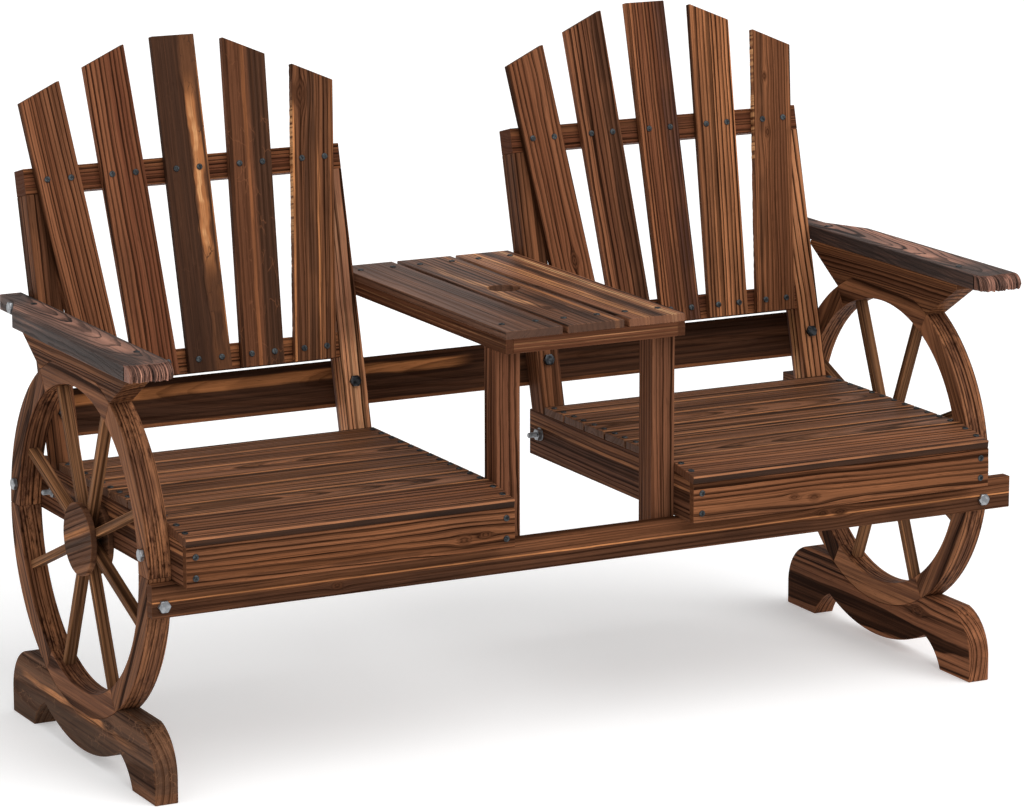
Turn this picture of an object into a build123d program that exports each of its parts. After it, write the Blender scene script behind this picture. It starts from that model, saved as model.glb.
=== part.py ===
"""Wagon-wheel twin garden seat: two fan-back chairs joined by a slatted table, carried by wheel sides.

Millimetres, +Z up. X runs along the length, the front looks to -Y, and Y is zero at the wheel hubs.
"""
import os
from math import cos, radians, sin, sqrt, tan

from build123d import *

os.makedirs("parts", exist_ok=True)

# Stock sizes
thin_board = 12.0
stick = 38.0
clearance = 0.1

# Chairs
table_width = 290.0
chair_width = 506.0
seat_rise = 76.0
side_rail_height = 70.0
side_rail_thickness = 22.0
seat_slat_count = 6
seat_slat_width = 61.0
seat_slat_gap = 3.3
seat_rear_y = 152.0
seat_back_gap = 6.0
front_slat_width = 76.0
front_slat_tilt = 9.5
inner_rail_tail = 35.6
outer_rail_tail = 18.0

# Leaning backs, with heights measured up the lean from just above the seat
lean_angle = 14.6
lean_rise = 2.0
back_slat_width = 68.0
back_slat_pitch = 84.5
fan_spread = 0.0571
back_slat_bottom = 105.5
back_slat_tops = (604.0, 596.0, 549.5)
back_slat_top_drop = 29.0
top_rail_middle = 407.0
back_rail_bottom = 33.0
back_rail_height = 70.0
back_rail_thickness = 18.0

# Wheels
hub_height = 322.0
wheel_radius = 257.0
wheel_thickness = 35.0
felloe_depth = 35.0
felloe_count = 6
rim_flat_depth = 13.0
spoke_count = 8
spoke_width = 11.5
spoke_start = 15.0
hub_disc_radius = 53.0
hub_disc_thickness = 9.0

# Feet
foot_half_length = 268.0
toe_length = 83.0
toe_height = 40.0
foot_seat_depth = 40.0
shoulder_run = 56.0
arch_y = 140.0
arch_height = 44.0
belly_height = 11.0

# Arms and the blocks under them
arm_block_height = 38.5
arm_thickness = 23.0
arm_width = 68.0
arm_tail_width = 35.0
arm_front_y = -290.0
arm_nose_run = 18.0
arm_nose_drop = 12.0
arm_tail_end = 49.0
arm_tail_lead = 10.0
arm_taper_run = 76.0
arm_block_half_top = 212.0
arm_block_lip = 7.0

# Front rail
front_rail_height = 48.0
front_rail_thickness = 18.0
front_rail_overhang = 30.0
rail_seat_depth = 6.0

# Table
table_top = 622.0
table_overhang = 30.0
table_rear_y = 272.0
table_slat_count = 3
table_slat_gap = 8.5
skirt_height = 21.0
umbrella_hole_radius = 25.0
umbrella_hole_y = 6.0
rear_bearer_y = 230.0

# Fasteners
screw_radius = 2.0
screw_head_radius = 4.7
screw_head_height = 1.6
screw_bite = 15.0
bolt_radius = 4.0
bolt_head_across = 16.0
bolt_head_height = 5.5
nut_height = 6.5
washer_radius = 10.0
washer_thickness = 1.6
thread_showing = 20.0
back_screw_spread = 18.6
seat_screw_spread = 15.0
seat_screw_inset = 8.5
apron_screw_inset = 14.0
apron_screw_spread = 15.0
table_screw_spread = 27.0
wheel_bolt_inset = 20.0
wheel_bolt_rise = 37.0
rail_bolt_drop = 31.0
arm_screw_inset = 22.0

# Sizes that follow from the ones above
chair_in = table_width / 2
chair_out = chair_in + chair_width
chair_middle = (chair_in + chair_out) / 2
wheel_out = chair_out + wheel_thickness
wheel_middle = (chair_out + wheel_out) / 2
seat_height = hub_height + seat_rise
rail_top = seat_height - thin_board
rail_bottom = rail_top - side_rail_height
front_rail_rear_y = rail_seat_depth - wheel_radius
front_rail_front_y = front_rail_rear_y - front_rail_thickness
seat_slat_pitch = seat_slat_width + seat_slat_gap
front_slat_rear_y = seat_rear_y - seat_slat_count * seat_slat_pitch
apron_front_y = front_slat_rear_y - front_slat_width * cos(radians(front_slat_tilt))
apron_rear_y = apron_front_y + thin_board
post_front_y = seat_rear_y + seat_back_gap
lean_level = seat_height + lean_rise
felloe_inner = wheel_radius - felloe_depth
rim_flat_height = wheel_radius - rim_flat_depth
shoulder_height = hub_height - wheel_radius + foot_seat_depth
arm_bottom = hub_height + rim_flat_height + arm_block_height
arm_top = arm_bottom + arm_thickness
slat_underside = table_top - thin_board
skirt_bottom = slat_underside - skirt_height
skirt_inner = chair_in - thin_board
table_slat_width = (table_width - table_slat_gap * (table_slat_count - 1)) / table_slat_count
top_rail_bottom = top_rail_middle - stick / 2
lower_rail_middle = back_slat_bottom + stick / 2
back_rail_middle = back_rail_bottom + back_rail_height / 2
leg_front_y = front_rail_rear_y
table_front_y = leg_front_y - table_overhang
far = 2000.0

lean = Plane(
    origin=(0, post_front_y, lean_level),
    x_dir=(1, 0, 0),
    z_dir=(0, -cos(radians(lean_angle)), sin(radians(lean_angle))),
).location
front_slat_frame = Plane(
    origin=(0, front_slat_rear_y, seat_height),
    x_dir=(1, 0, 0),
    z_dir=(0, -sin(radians(front_slat_tilt)), cos(radians(front_slat_tilt))),
).location


def span(x0, x1, y0, y1, z0, z1):
    """A square-edged board between two corners."""
    return Pos((x0 + x1) / 2, (y0 + y1) / 2, (z0 + z1) / 2) * Box(x1 - x0, y1 - y0, z1 - z0)


def sideways(face, x0, x1):
    """A face drawn in (Y, Z) and drawn out along X."""
    return Pos(x0, 0, 0) * extrude(Plane.YZ * face, amount=x1 - x0)


def disc(radius, x0, x1):
    """A round block on the hub line."""
    return sideways(Pos(0, hub_height) * Circle(radius), x0, x1)


def flipped(shape):
    """The left-hand twin of a right-hand piece."""
    return mirror(shape, about=Plane.YZ)


def facing(x, y, z, direction):
    """A place on a surface whose own Z looks along the direction."""
    return Plane(origin=(x, y, z), z_dir=direction).location


def screw(length):
    """A wood screw with its head standing on the surface."""
    head = Pos(0, 0, screw_head_height / 2) * Cylinder(screw_head_radius, screw_head_height)
    return head + Pos(0, 0, -length / 2) * Cylinder(screw_radius, length)


def hex_prism(across, height):
    """A six-sided prism standing on its own zero level."""
    return extrude(RegularPolygon(across / sqrt(3), 6), amount=height)


def bolt(length):
    """A hex-head bolt with its head standing on the surface."""
    shank = Pos(0, 0, -length / 2) * Cylinder(bolt_radius, length)
    return hex_prism(bolt_head_across, bolt_head_height) + shank


def bored(piece, places, radius, depth):
    """A piece with round holes sunk from each place."""
    reach = depth + clearance
    cutter = Pos(0, 0, -reach / 2) * Cylinder(radius + clearance, reach)
    for place in places:
        piece = piece - place * cutter
    return piece


def post_middle_y(level):
    """Y of a leaning post's middle line at a height above the ground."""
    front = post_front_y + (level - lean_level) * tan(radians(lean_angle))
    return front + stick / 2 / cos(radians(lean_angle))


# Where the fasteners of the right-hand chair and wheel sit
screw_length = thin_board + screw_bite
seat_screw_lines = (chair_in + seat_screw_inset, chair_out - seat_screw_inset)
apron_screw_lines = (chair_in + apron_screw_inset, chair_out - apron_screw_inset)
post_lines = (chair_in + stick / 2, chair_out - stick / 2)
post_bolt_length = stick + back_rail_thickness
lap_length = stick + washer_thickness + thread_showing
wheel_bolt_y = wheel_radius - wheel_bolt_inset
wheel_bolt_z = rail_bottom + wheel_bolt_rise
rail_bolt_z = rail_bottom - rail_bolt_drop
outer_rail_rear_y = wheel_bolt_y + outer_rail_tail
lap_y = post_middle_y(wheel_bolt_z)
inner_rail_rear_y = lap_y + inner_rail_tail
arm_middle = (arm_top + arm_bottom) / 2
arm_bolt_y = post_middle_y(arm_middle)
arm_rear_y = arm_bolt_y + arm_tail_end
arm_tail_y = arm_bolt_y - arm_tail_lead
arm_kink_y = arm_tail_y - arm_taper_run
arm_screw_y = arm_block_half_top - arm_screw_inset
side_bolt_length = wheel_thickness + side_rail_thickness
rail_bolt_length = front_rail_thickness + felloe_depth - 2 * rail_seat_depth
arm_screw_length = arm_thickness + screw_bite


def fan_axis(order, height):
    """Sideways place of a back slat's middle line at a height up the lean."""
    return chair_middle + order * (back_slat_pitch + fan_spread * (height - back_slat_bottom))


def back_screw_places(order):
    """The four screws of one back slat."""
    places = []
    for height in (lower_rail_middle, top_rail_middle):
        for side in (-1, 1):
            x = fan_axis(order, height) + side * back_screw_spread
            places.append(lean * Pos(x, height, thin_board))
    return places


def seat_slat_middle(number):
    """Y of the middle of a level seat slat, counted from the rear."""
    return seat_rear_y - seat_slat_width / 2 - number * seat_slat_pitch


def seat_screw_places():
    """Two screws at each end of every level seat slat."""
    places = []
    for number in range(seat_slat_count):
        for x in seat_screw_lines:
            for side in (-1, 1):
                places.append(Pos(x, seat_slat_middle(number) + side * seat_screw_spread, seat_height))
    return places


def front_slat_screw_places():
    """Two screws at each end of the tilted front slat."""
    places = []
    for x in seat_screw_lines:
        for side in (-1, 1):
            places.append(front_slat_frame * Pos(x, side * seat_screw_spread - front_slat_width / 2, 0))
    return places


def apron_screw_places():
    """Two screws at each end of the apron."""
    middle = (rail_bottom + rail_top - thin_board) / 2
    places = []
    for x in apron_screw_lines:
        for side in (-1, 1):
            places.append(facing(x, apron_front_y, middle + side * apron_screw_spread, (0, -1, 0)))
    return places


def post_bolt_places():
    """One bolt through the front of each post into the back rail."""
    return [lean * Pos(x, back_rail_middle, 0) for x in post_lines]


def lap_bolt_places():
    """Bolt heads on the inside of the posts' lapped feet."""
    inner = facing(chair_in + stick, lap_y, wheel_bolt_z, (1, 0, 0))
    outer = facing(chair_out - stick, lap_y, wheel_bolt_z, (-1, 0, 0))
    return [inner, outer]


def lap_nut_places():
    """Washer faces outside the side rails, opposite the lap bolt heads."""
    inner = facing(chair_in, lap_y, wheel_bolt_z, (-1, 0, 0))
    outer = facing(chair_out, lap_y, wheel_bolt_z, (1, 0, 0))
    return [inner, outer]


def wheel_bolt_places():
    """Two bolts through the rim into the outer side rail."""
    return [facing(wheel_out, side * wheel_bolt_y, wheel_bolt_z, (1, 0, 0)) for side in (-1, 1)]


def arm_bolt_places():
    """The bolt through the arm's tail into the outer post."""
    return [facing(chair_out + arm_tail_width, arm_bolt_y, arm_middle, (1, 0, 0))]


def arm_screw_places():
    """Screws down through the arm into its block."""
    return [Pos(wheel_middle, side * arm_screw_y, arm_top) for side in (-1, 1)]


def rail_bolt_places():
    """The front rail's bolts, one into the front of each wheel."""
    return [facing(x, front_rail_front_y, rail_bolt_z, (0, -1, 0)) for x in (-wheel_middle, wheel_middle)]


def table_slat_middle(number):
    """X of the middle of a table slat."""
    return (number - (table_slat_count - 1) / 2) * (table_slat_width + table_slat_gap)


def table_screw_places(number):
    """Two screws at each end of one table slat."""
    places = []
    for y in (leg_front_y + stick / 2, rear_bearer_y):
        for side in (-1, 1):
            places.append(Pos(table_slat_middle(number) + side * table_screw_spread, y, table_top))
    return places


def back_slat(order):
    """One fanned back slat with a level foot and a sloping head."""
    top = back_slat_tops[abs(order)]
    drop = back_slat_top_drop if order else 0
    half = back_slat_width / 2
    toward = -1 if order < 0 else 1
    inner_foot = (fan_axis(order, back_slat_bottom) - toward * half, back_slat_bottom)
    outer_foot = (fan_axis(order, back_slat_bottom) + toward * half, back_slat_bottom)
    outer_head = (fan_axis(order, top - drop) + toward * half, top - drop)
    inner_head = (fan_axis(order, top) - toward * half, top)
    outline = make_face(Polyline(inner_foot, outer_foot, outer_head, inner_head, close=True))
    slat = lean * extrude(outline, amount=thin_board)
    return bored(slat, back_screw_places(order), screw_radius, screw_length)


def all_back_screws():
    """Screw places of the whole fan."""
    return [place for order in range(-2, 3) for place in back_screw_places(order)]


def lean_span(x0, x1, low, high, front, rear):
    """A square-edged board lying along the lean."""
    middle = Pos((x0 + x1) / 2, (low + high) / 2, (front + rear) / 2)
    return lean * middle * Box(x1 - x0, high - low, front - rear)


def top_rail():
    """Rail on top of the two posts, behind the slats."""
    rail = lean_span(chair_in, chair_out, top_rail_bottom, top_rail_bottom + stick, 0, -stick)
    return bored(rail, all_back_screws(), screw_radius, screw_length)


def lower_rail():
    """Rail between the posts at the feet of the slats."""
    low = back_slat_bottom
    rail = lean_span(chair_in + stick, chair_out - stick, low, low + stick, 0, -stick)
    return bored(rail, all_back_screws(), screw_radius, screw_length)


def side_rail_body(x0, rear_y):
    """Side rail with its top planed down in front for the tilted slat."""
    rail = span(x0, x0 + side_rail_thickness, apron_rear_y, rear_y, rail_bottom, rail_top)
    above = front_slat_frame * Pos(chair_middle, -front_slat_width / 2, 0)
    return rail - above * Box(far, front_slat_width * 2, thin_board * 2)


def side_rail(inner):
    """Inner or outer side rail with its fastener holes."""
    x0 = chair_in if inner else chair_out - side_rail_thickness
    rail = side_rail_body(x0, inner_rail_rear_y if inner else outer_rail_rear_y)
    rail = bored(rail, seat_screw_places() + front_slat_screw_places(), screw_radius, screw_length)
    rail = bored(rail, apron_screw_places(), screw_radius, screw_length)
    rail = bored(rail, [lap_bolt_places()[0 if inner else 1]], bolt_radius, lap_length)
    if not inner:
        rail = bored(rail, wheel_bolt_places(), bolt_radius, side_bolt_length)
    return rail


def post(inner):
    """Back post, lapped inside the side rail at its foot."""
    x0 = chair_in if inner else chair_out - stick
    body = lean_span(x0, x0 + stick, -seat_height, top_rail_bottom, 0, -stick)
    body = body - span(-far, far, -far, far, -far, rail_bottom)
    rail_x = chair_in if inner else chair_out - side_rail_thickness
    body = body - span(rail_x, rail_x + side_rail_thickness, -far, far, rail_bottom, rail_top)
    body = bored(body, post_bolt_places(), bolt_radius, post_bolt_length)
    body = bored(body, [lap_bolt_places()[0 if inner else 1]], bolt_radius, lap_length)
    if not inner:
        body = bored(body, arm_bolt_places(), bolt_radius, side_bolt_length)
    return body


def apron():
    """Front board of the seat, planed on top to carry the tilted slat."""
    board = span(chair_in, chair_out, apron_front_y, apron_rear_y, rail_bottom, rail_top)
    above = front_slat_frame * Pos(chair_middle, -front_slat_width / 2, 0)
    board = board - above * Box(far, front_slat_width * 2, thin_board * 2)
    return bored(board, apron_screw_places(), screw_radius, screw_length)


def seat_slats():
    """The level seat slats."""
    slats = []
    for number in range(seat_slat_count):
        front = seat_slat_middle(number) - seat_slat_width / 2
        slat = span(chair_in, chair_out, front, front + seat_slat_width, rail_top, seat_height)
        own = seat_screw_places()[number * 4:number * 4 + 4]
        slats.append(bored(slat, own, screw_radius, screw_length))
    return Compound(children=slats)


def front_slat():
    """The slat that rolls down over the front of the seat."""
    middle = front_slat_frame * Pos(chair_middle, -front_slat_width / 2, -thin_board / 2)
    board = middle * Box(chair_width, front_slat_width, thin_board)
    return bored(board, front_slat_screw_places(), screw_radius, screw_length)


def flat_topped_disc(x0, x1):
    """The full wheel outline with its top planed flat for the arm block."""
    return disc(wheel_radius, x0, x1) - span(-far, far, -far, far, hub_height + rim_flat_height, far)


def rim():
    """The rim's felloes, butted end to end."""
    ring = flat_topped_disc(chair_out, wheel_out) - disc(felloe_inner, chair_out, wheel_out)
    ring = ring - span(-far, far, -far, front_rail_rear_y, rail_bottom - front_rail_height, rail_bottom)
    ring = bored(ring, wheel_bolt_places(), bolt_radius, side_bolt_length)
    ring = bored(ring, rail_bolt_places(), bolt_radius, rail_bolt_length)
    felloes = []
    half = radians(180 / felloe_count)
    corners = [(side * far * sin(half), far * cos(half)) for side in (1, -1)]
    wedge = make_face(Polyline((0, 0), *corners, close=True))
    for number in range(felloe_count):
        turned = Pos(0, hub_height) * Rot(0, 0, number * 360 / felloe_count) * wedge
        felloes.append((ring & sideways(turned, chair_out, wheel_out)).solid())
    return Compound(children=felloes)


def spokes():
    """Spokes held between the hub discs and shaped to the rim."""
    limit = disc(felloe_inner, chair_out, wheel_out)
    inside = chair_out + hub_disc_thickness
    outside = wheel_out - hub_disc_thickness
    pieces = []
    for number in range(spoke_count):
        bar = Pos(0, (spoke_start + wheel_radius) / 2) * Rectangle(spoke_width, wheel_radius - spoke_start)
        turned = Pos(0, hub_height) * Rot(0, 0, (number + 0.5) * 360 / spoke_count) * bar
        pieces.append((limit & sideways(turned, inside, outside)).solid())
    return Compound(children=pieces)


def hub_discs():
    """Outer and inner discs that clamp the spokes."""
    inner = disc(hub_disc_radius, chair_out, chair_out + hub_disc_thickness)
    outer = disc(hub_disc_radius, wheel_out - hub_disc_thickness, wheel_out)
    return Compound(children=[inner, outer])


def foot():
    """Wavy foot board with a hollow that seats the rim."""
    end = foot_half_length
    toe = end - toe_length
    arch_mid = ((toe + arch_y) / 2 + 4, arch_height * 0.62)
    shoulder = end - shoulder_run
    shoulder_mid = (end - 0.3 * shoulder_run, toe_height + 0.64 * (shoulder_height - toe_height))
    edges = [
        Line((-end, 0), (-toe, 0)),
        ThreePointArc((-toe, 0), (-arch_mid[0], arch_mid[1]), (-arch_y, arch_height)),
        ThreePointArc((-arch_y, arch_height), (0, belly_height), (arch_y, arch_height)),
        ThreePointArc((arch_y, arch_height), arch_mid, (toe, 0)),
        Line((toe, 0), (end, 0)),
        Line((end, 0), (end, toe_height)),
        ThreePointArc((end, toe_height), shoulder_mid, (shoulder, shoulder_height)),
        Line((shoulder, shoulder_height), (-shoulder, shoulder_height)),
        ThreePointArc((-shoulder, shoulder_height), (-shoulder_mid[0], shoulder_mid[1]), (-end, toe_height)),
        Line((-end, toe_height), (-end, 0)),
    ]
    return sideways(make_face(edges), chair_out, wheel_out) - disc(wheel_radius, chair_out, wheel_out)


def arm_block():
    """Block between the rim's top and the arm, with raking ends."""
    half_top = arm_block_half_top
    lip = arm_bottom - arm_block_lip
    half_base = wheel_radius * sin(radians(180 / felloe_count))
    base = hub_height + wheel_radius * cos(radians(180 / felloe_count))
    right = [(half_base, base), (half_top, lip), (half_top, arm_bottom)]
    left = [(-y, z) for y, z in reversed(right)]
    block = sideways(make_face(Polyline(*right, *left, close=True)), chair_out, wheel_out)
    block = block - flat_topped_disc(chair_out, wheel_out)
    return bored(block, arm_screw_places(), screw_radius, arm_screw_length)


def arm_side_view():
    """The arm seen from the side: level, with its top rounded down to the torn front."""
    nose_top = (arm_front_y + arm_nose_run, arm_top)
    nose_front = (arm_front_y, arm_top - arm_nose_drop)
    below = [nose_front, (arm_front_y, arm_bottom), (arm_rear_y, arm_bottom), (arm_rear_y, arm_top), nose_top]
    return make_face([*Polyline(*below).edges(), TangentArc(nose_top, nose_front, tangent=(-1, 0))])


def arm():
    """Flat arm with a rough, rounded front and a narrow tail beside the post."""
    inside = chair_out
    outside = chair_out + arm_width
    tail = chair_out + arm_tail_width
    rough = ((1.0, 5), (0.8, 3), (0.62, 4), (0.43, 0), (0.25, 1), (0.09, 5), (0.0, 12))
    front = [(inside + part * arm_width, arm_front_y + back) for part, back in rough]
    sides = [(inside, arm_rear_y), (tail, arm_rear_y), (tail, arm_tail_y), (outside, arm_kink_y)]
    outline = make_face(Polyline(*front, *sides, close=True))
    board = Pos(0, 0, arm_bottom) * extrude(outline, amount=arm_thickness)
    board = (board & sideways(arm_side_view(), inside, outside)).solid()
    board = bored(board, arm_screw_places(), screw_radius, arm_screw_length)
    return bored(board, arm_bolt_places(), bolt_radius, side_bolt_length)


def front_rail():
    """Long rail across the fronts of both wheels."""
    bottom = rail_bottom - front_rail_height
    right = wheel_out + front_rail_overhang
    rail = span(-wheel_out, right, front_rail_front_y, front_rail_rear_y, bottom, rail_bottom)
    return bored(rail, rail_bolt_places(), bolt_radius, rail_bolt_length)


def back_rail():
    """Long rail behind all four posts."""
    top = back_rail_bottom + back_rail_height
    rail = lean_span(-chair_out, chair_out, back_rail_bottom, top, -stick, -stick - back_rail_thickness)
    places = post_bolt_places()
    mirrored = [lean * Pos(-x, back_rail_middle, 0) for x in post_lines]
    return bored(rail, places + mirrored, bolt_radius, post_bolt_length)


def table_slat(number):
    """One table slat; the middle one has the umbrella hole."""
    x = table_slat_middle(number)
    half = table_slat_width / 2
    slat = span(x - half, x + half, table_front_y, table_rear_y, slat_underside, table_top)
    if number == (table_slat_count - 1) / 2:
        slat = slat - Pos(0, umbrella_hole_y, table_top) * Cylinder(umbrella_hole_radius, thin_board * 4)
    return bored(slat, table_screw_places(number), screw_radius, screw_length)


def all_table_screws():
    """Screw places of the whole table."""
    return [place for number in range(table_slat_count) for place in table_screw_places(number)]


def side_skirt():
    """Skirt under the table's side, resting against the inner post."""
    return span(skirt_inner, chair_in, table_front_y, table_rear_y, skirt_bottom, slat_underside)


def front_skirt():
    """Skirt between the side skirts at the table's front."""
    rear_y = table_front_y + thin_board
    return span(-skirt_inner, skirt_inner, table_front_y, rear_y, skirt_bottom, slat_underside)


def table_leg():
    """Leg behind the front rail, rebated to pass inside the side skirt."""
    bottom = rail_bottom - front_rail_height
    leg = span(chair_in - stick, chair_in, leg_front_y, leg_front_y + stick, bottom, slat_underside)
    leg = leg - span(skirt_inner, far, -far, far, skirt_bottom, slat_underside)
    return bored(leg, all_table_screws(), screw_radius, screw_length)


def table_bearers():
    """Cross pieces under the slats: one between the legs, one between the inner posts."""
    inside = chair_in - stick
    front = span(-inside, inside, leg_front_y, leg_front_y + stick, skirt_bottom, slat_underside)
    rear_front_y = rear_bearer_y - stick / 2
    rear = span(-skirt_inner, skirt_inner, rear_front_y, rear_front_y + stick, skirt_bottom, slat_underside)
    pieces = [bored(piece, all_table_screws(), screw_radius, screw_length) for piece in (front, rear)]
    return Compound(children=pieces)


def placed(template, places):
    """Copies of a fastener at right-hand places."""
    return [place * template for place in places]


def both_sides(pieces):
    """Right-hand pieces and their left-hand twins as one group."""
    return Compound(children=list(pieces) + [flipped(piece) for piece in pieces])


def lap_nuts():
    """Washer and nut pairs on the showing threads of the lap bolts."""
    hole = Cylinder(bolt_radius + clearance, far)
    washer = Pos(0, 0, washer_thickness / 2) * Cylinder(washer_radius, washer_thickness) - hole
    nut = Pos(0, 0, washer_thickness) * hex_prism(bolt_head_across, nut_height) - hole
    pieces = placed(washer, lap_nut_places()) + placed(nut, lap_nut_places())
    return both_sides(pieces)


def chair_pieces():
    """Every piece of the right-hand chair by name."""
    pieces = {f"back_slat_{order + 3}": back_slat(order) for order in range(-2, 3)}
    pieces["inner_post"] = post(True)
    pieces["outer_post"] = post(False)
    pieces["top_rail"] = top_rail()
    pieces["lower_rail"] = lower_rail()
    pieces["inner_side_rail"] = side_rail(True)
    pieces["outer_side_rail"] = side_rail(False)
    pieces["apron"] = apron()
    pieces["seat_slats"] = seat_slats()
    pieces["front_slat"] = front_slat()
    return pieces


def wheel_pieces():
    """Every piece of the right-hand wheel side by name."""
    return {
        "rim": rim(),
        "spokes": spokes(),
        "hub_discs": hub_discs(),
        "foot": foot(),
        "arm_block": arm_block(),
        "arm": arm(),
    }


def table_pieces():
    """Every piece of the table by name."""
    pieces = {f"table_slat_{number + 1}": table_slat(number) for number in range(table_slat_count)}
    pieces["right_table_skirt"] = side_skirt()
    pieces["left_table_skirt"] = flipped(side_skirt())
    pieces["front_table_skirt"] = front_skirt()
    pieces["right_table_leg"] = table_leg()
    pieces["left_table_leg"] = flipped(table_leg())
    pieces["table_bearers"] = table_bearers()
    return pieces


def fastener_pieces():
    """Groups of like fasteners by name."""
    wood_screw = screw(screw_length)
    seat_places = seat_screw_places() + front_slat_screw_places() + apron_screw_places()
    return {
        "seat_screws": both_sides(placed(wood_screw, seat_places)),
        "back_screws": both_sides(placed(wood_screw, all_back_screws())),
        "table_screws": Compound(children=placed(wood_screw, all_table_screws())),
        "arm_screws": both_sides(placed(screw(arm_screw_length), arm_screw_places())),
        "side_bolts": both_sides(placed(bolt(side_bolt_length), wheel_bolt_places() + arm_bolt_places())),
        "rail_bolts": Compound(children=placed(bolt(rail_bolt_length), rail_bolt_places())),
        "post_bolts": both_sides(placed(bolt(post_bolt_length), post_bolt_places())),
        "lap_bolts": both_sides(placed(bolt(lap_length), lap_bolt_places())),
        "lap_nuts": lap_nuts(),
    }


def main():
    """Build every node and write one file for each."""
    nodes = {}
    for name, piece in {**chair_pieces(), **wheel_pieces()}.items():
        nodes[f"right_{name}"] = piece
        nodes[f"left_{name}"] = flipped(piece)
    nodes["front_rail"] = front_rail()
    nodes["back_rail"] = back_rail()
    nodes.update(table_pieces())
    nodes.update(fastener_pieces())
    for name, piece in nodes.items():
        export_step(piece, f"parts/{name}.step")


main()
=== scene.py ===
"""A wagon-wheel twin garden seat in scorched, striped fir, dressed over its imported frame.

Each sub-assembly is a class that keeps its sizes in millimetres, draws its boards and dresses them.
Boards are eased prisms. Every board carries its own grain, so stripes, fibres and end grain agree on
all its faces.
"""
import functools
import logging
import math
import random
from dataclasses import dataclass, field, replace
from enum import Enum
from typing import Iterable, Optional, Sequence

import bpy
from mathutils import Matrix, Vector
from mathutils.geometry import tessellate_polygon


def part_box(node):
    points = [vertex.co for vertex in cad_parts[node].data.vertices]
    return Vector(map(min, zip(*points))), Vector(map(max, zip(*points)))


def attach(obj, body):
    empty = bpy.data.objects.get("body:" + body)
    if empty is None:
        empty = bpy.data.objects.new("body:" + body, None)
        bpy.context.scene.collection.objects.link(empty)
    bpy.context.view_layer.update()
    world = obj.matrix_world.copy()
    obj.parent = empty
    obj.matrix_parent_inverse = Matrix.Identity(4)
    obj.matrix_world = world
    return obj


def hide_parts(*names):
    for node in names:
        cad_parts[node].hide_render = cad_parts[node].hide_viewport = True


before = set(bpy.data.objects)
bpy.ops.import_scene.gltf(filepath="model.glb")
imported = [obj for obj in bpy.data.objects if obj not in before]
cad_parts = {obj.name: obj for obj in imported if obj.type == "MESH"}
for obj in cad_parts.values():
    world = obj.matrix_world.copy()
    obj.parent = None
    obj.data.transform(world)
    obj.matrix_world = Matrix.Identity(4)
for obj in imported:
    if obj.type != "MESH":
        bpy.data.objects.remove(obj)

LOG = logging.getLogger("twin_seat")
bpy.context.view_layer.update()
MM = 0.001
X_WAY, Y_WAY, Z_WAY = Vector((1, 0, 0)), Vector((0, 1, 0)), Vector((0, 0, 1))
Point = tuple[float, float]
Spot = tuple[float, float, float]
Loop = list[Spot]
Colour = tuple[float, float, float]
Socket = bpy.types.NodeSocket

ROUND_STEPS = 48
EDGE_MARKS = (0.35, 1.0, 0.35)
SHARP_ANGLE = 52.0
REACH_SLACK = 0.002
TONE_SPREAD = (0.94, 1.06)
SEED_SPAN = 40
ENDLESS = 2000.0


class Side(Enum):
    """Which half of the seat a piece belongs to, seen from the front."""

    RIGHT = "right"
    LEFT = "left"

    @property
    def mirror(self) -> Matrix:
        """The matrix that carries right-hand sizes to this side."""
        return Matrix.Scale(1.0 if self is Side.RIGHT else -1.0, 4, X_WAY)

    def node(self, name: str) -> str:
        """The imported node's name on this side."""
        return f"{self.value}_{name}"


@dataclass(frozen=True)
class LogPlace:
    """Where the heart of the log lay from a board's middle, as ranges in millimetres to draw from.

    Without a rake the heart lies on either side of the board. With one it leans either way along it.
    """

    across: Point
    through: Point
    drift: float
    rake: Optional[Point] = None


class Cut(Enum):
    """How a board was sawn from the log, which sets how its rings meet its faces."""

    QUARTER = LogPlace((110, 190), (-30, 30), 0.015)
    RIFT = LogPlace((45, 80), (40, 80), 0.02)
    FACE = LogPlace((-15, 15), (-130, -170), 0.02, (0.0, 0.01))
    FLAT = LogPlace((-12, 12), (-20, -34), 0.02, (0.05, 0.09))


def srgb(colour: Colour) -> Colour:
    """Turn a colour given in display steps from 0 to 255 into linear light.

    Args:
        colour: Red, green and blue steps.

    Returns:
        The colour in linear light.
    """
    def linear(step: float) -> float:
        """One channel in linear light."""
        share = step / 255.0
        return share / 12.92 if share <= 0.04045 else ((share + 0.055) / 1.055) ** 2.4

    return tuple(linear(step) for step in colour)


def arc(centre: Point, radius: float, start: float, end: float, steps: int) -> list[Point]:
    """Points along a circle.

    Args:
        centre: Middle of the circle.
        radius: Its radius.
        start: First angle in degrees.
        end: Last angle in degrees.
        steps: Number of chords.

    Returns:
        The points, both ends included.
    """
    turns = [math.radians(start + (end - start) * step / steps) for step in range(steps + 1)]
    return [(centre[0] + radius * math.cos(turn), centre[1] + radius * math.sin(turn)) for turn in turns]


def circle(centre: Point, radius: float) -> list[Point]:
    """The points of a whole circle, anticlockwise."""
    return arc(centre, radius, 0, 360 - 360 / ROUND_STEPS, ROUND_STEPS - 1)


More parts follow.
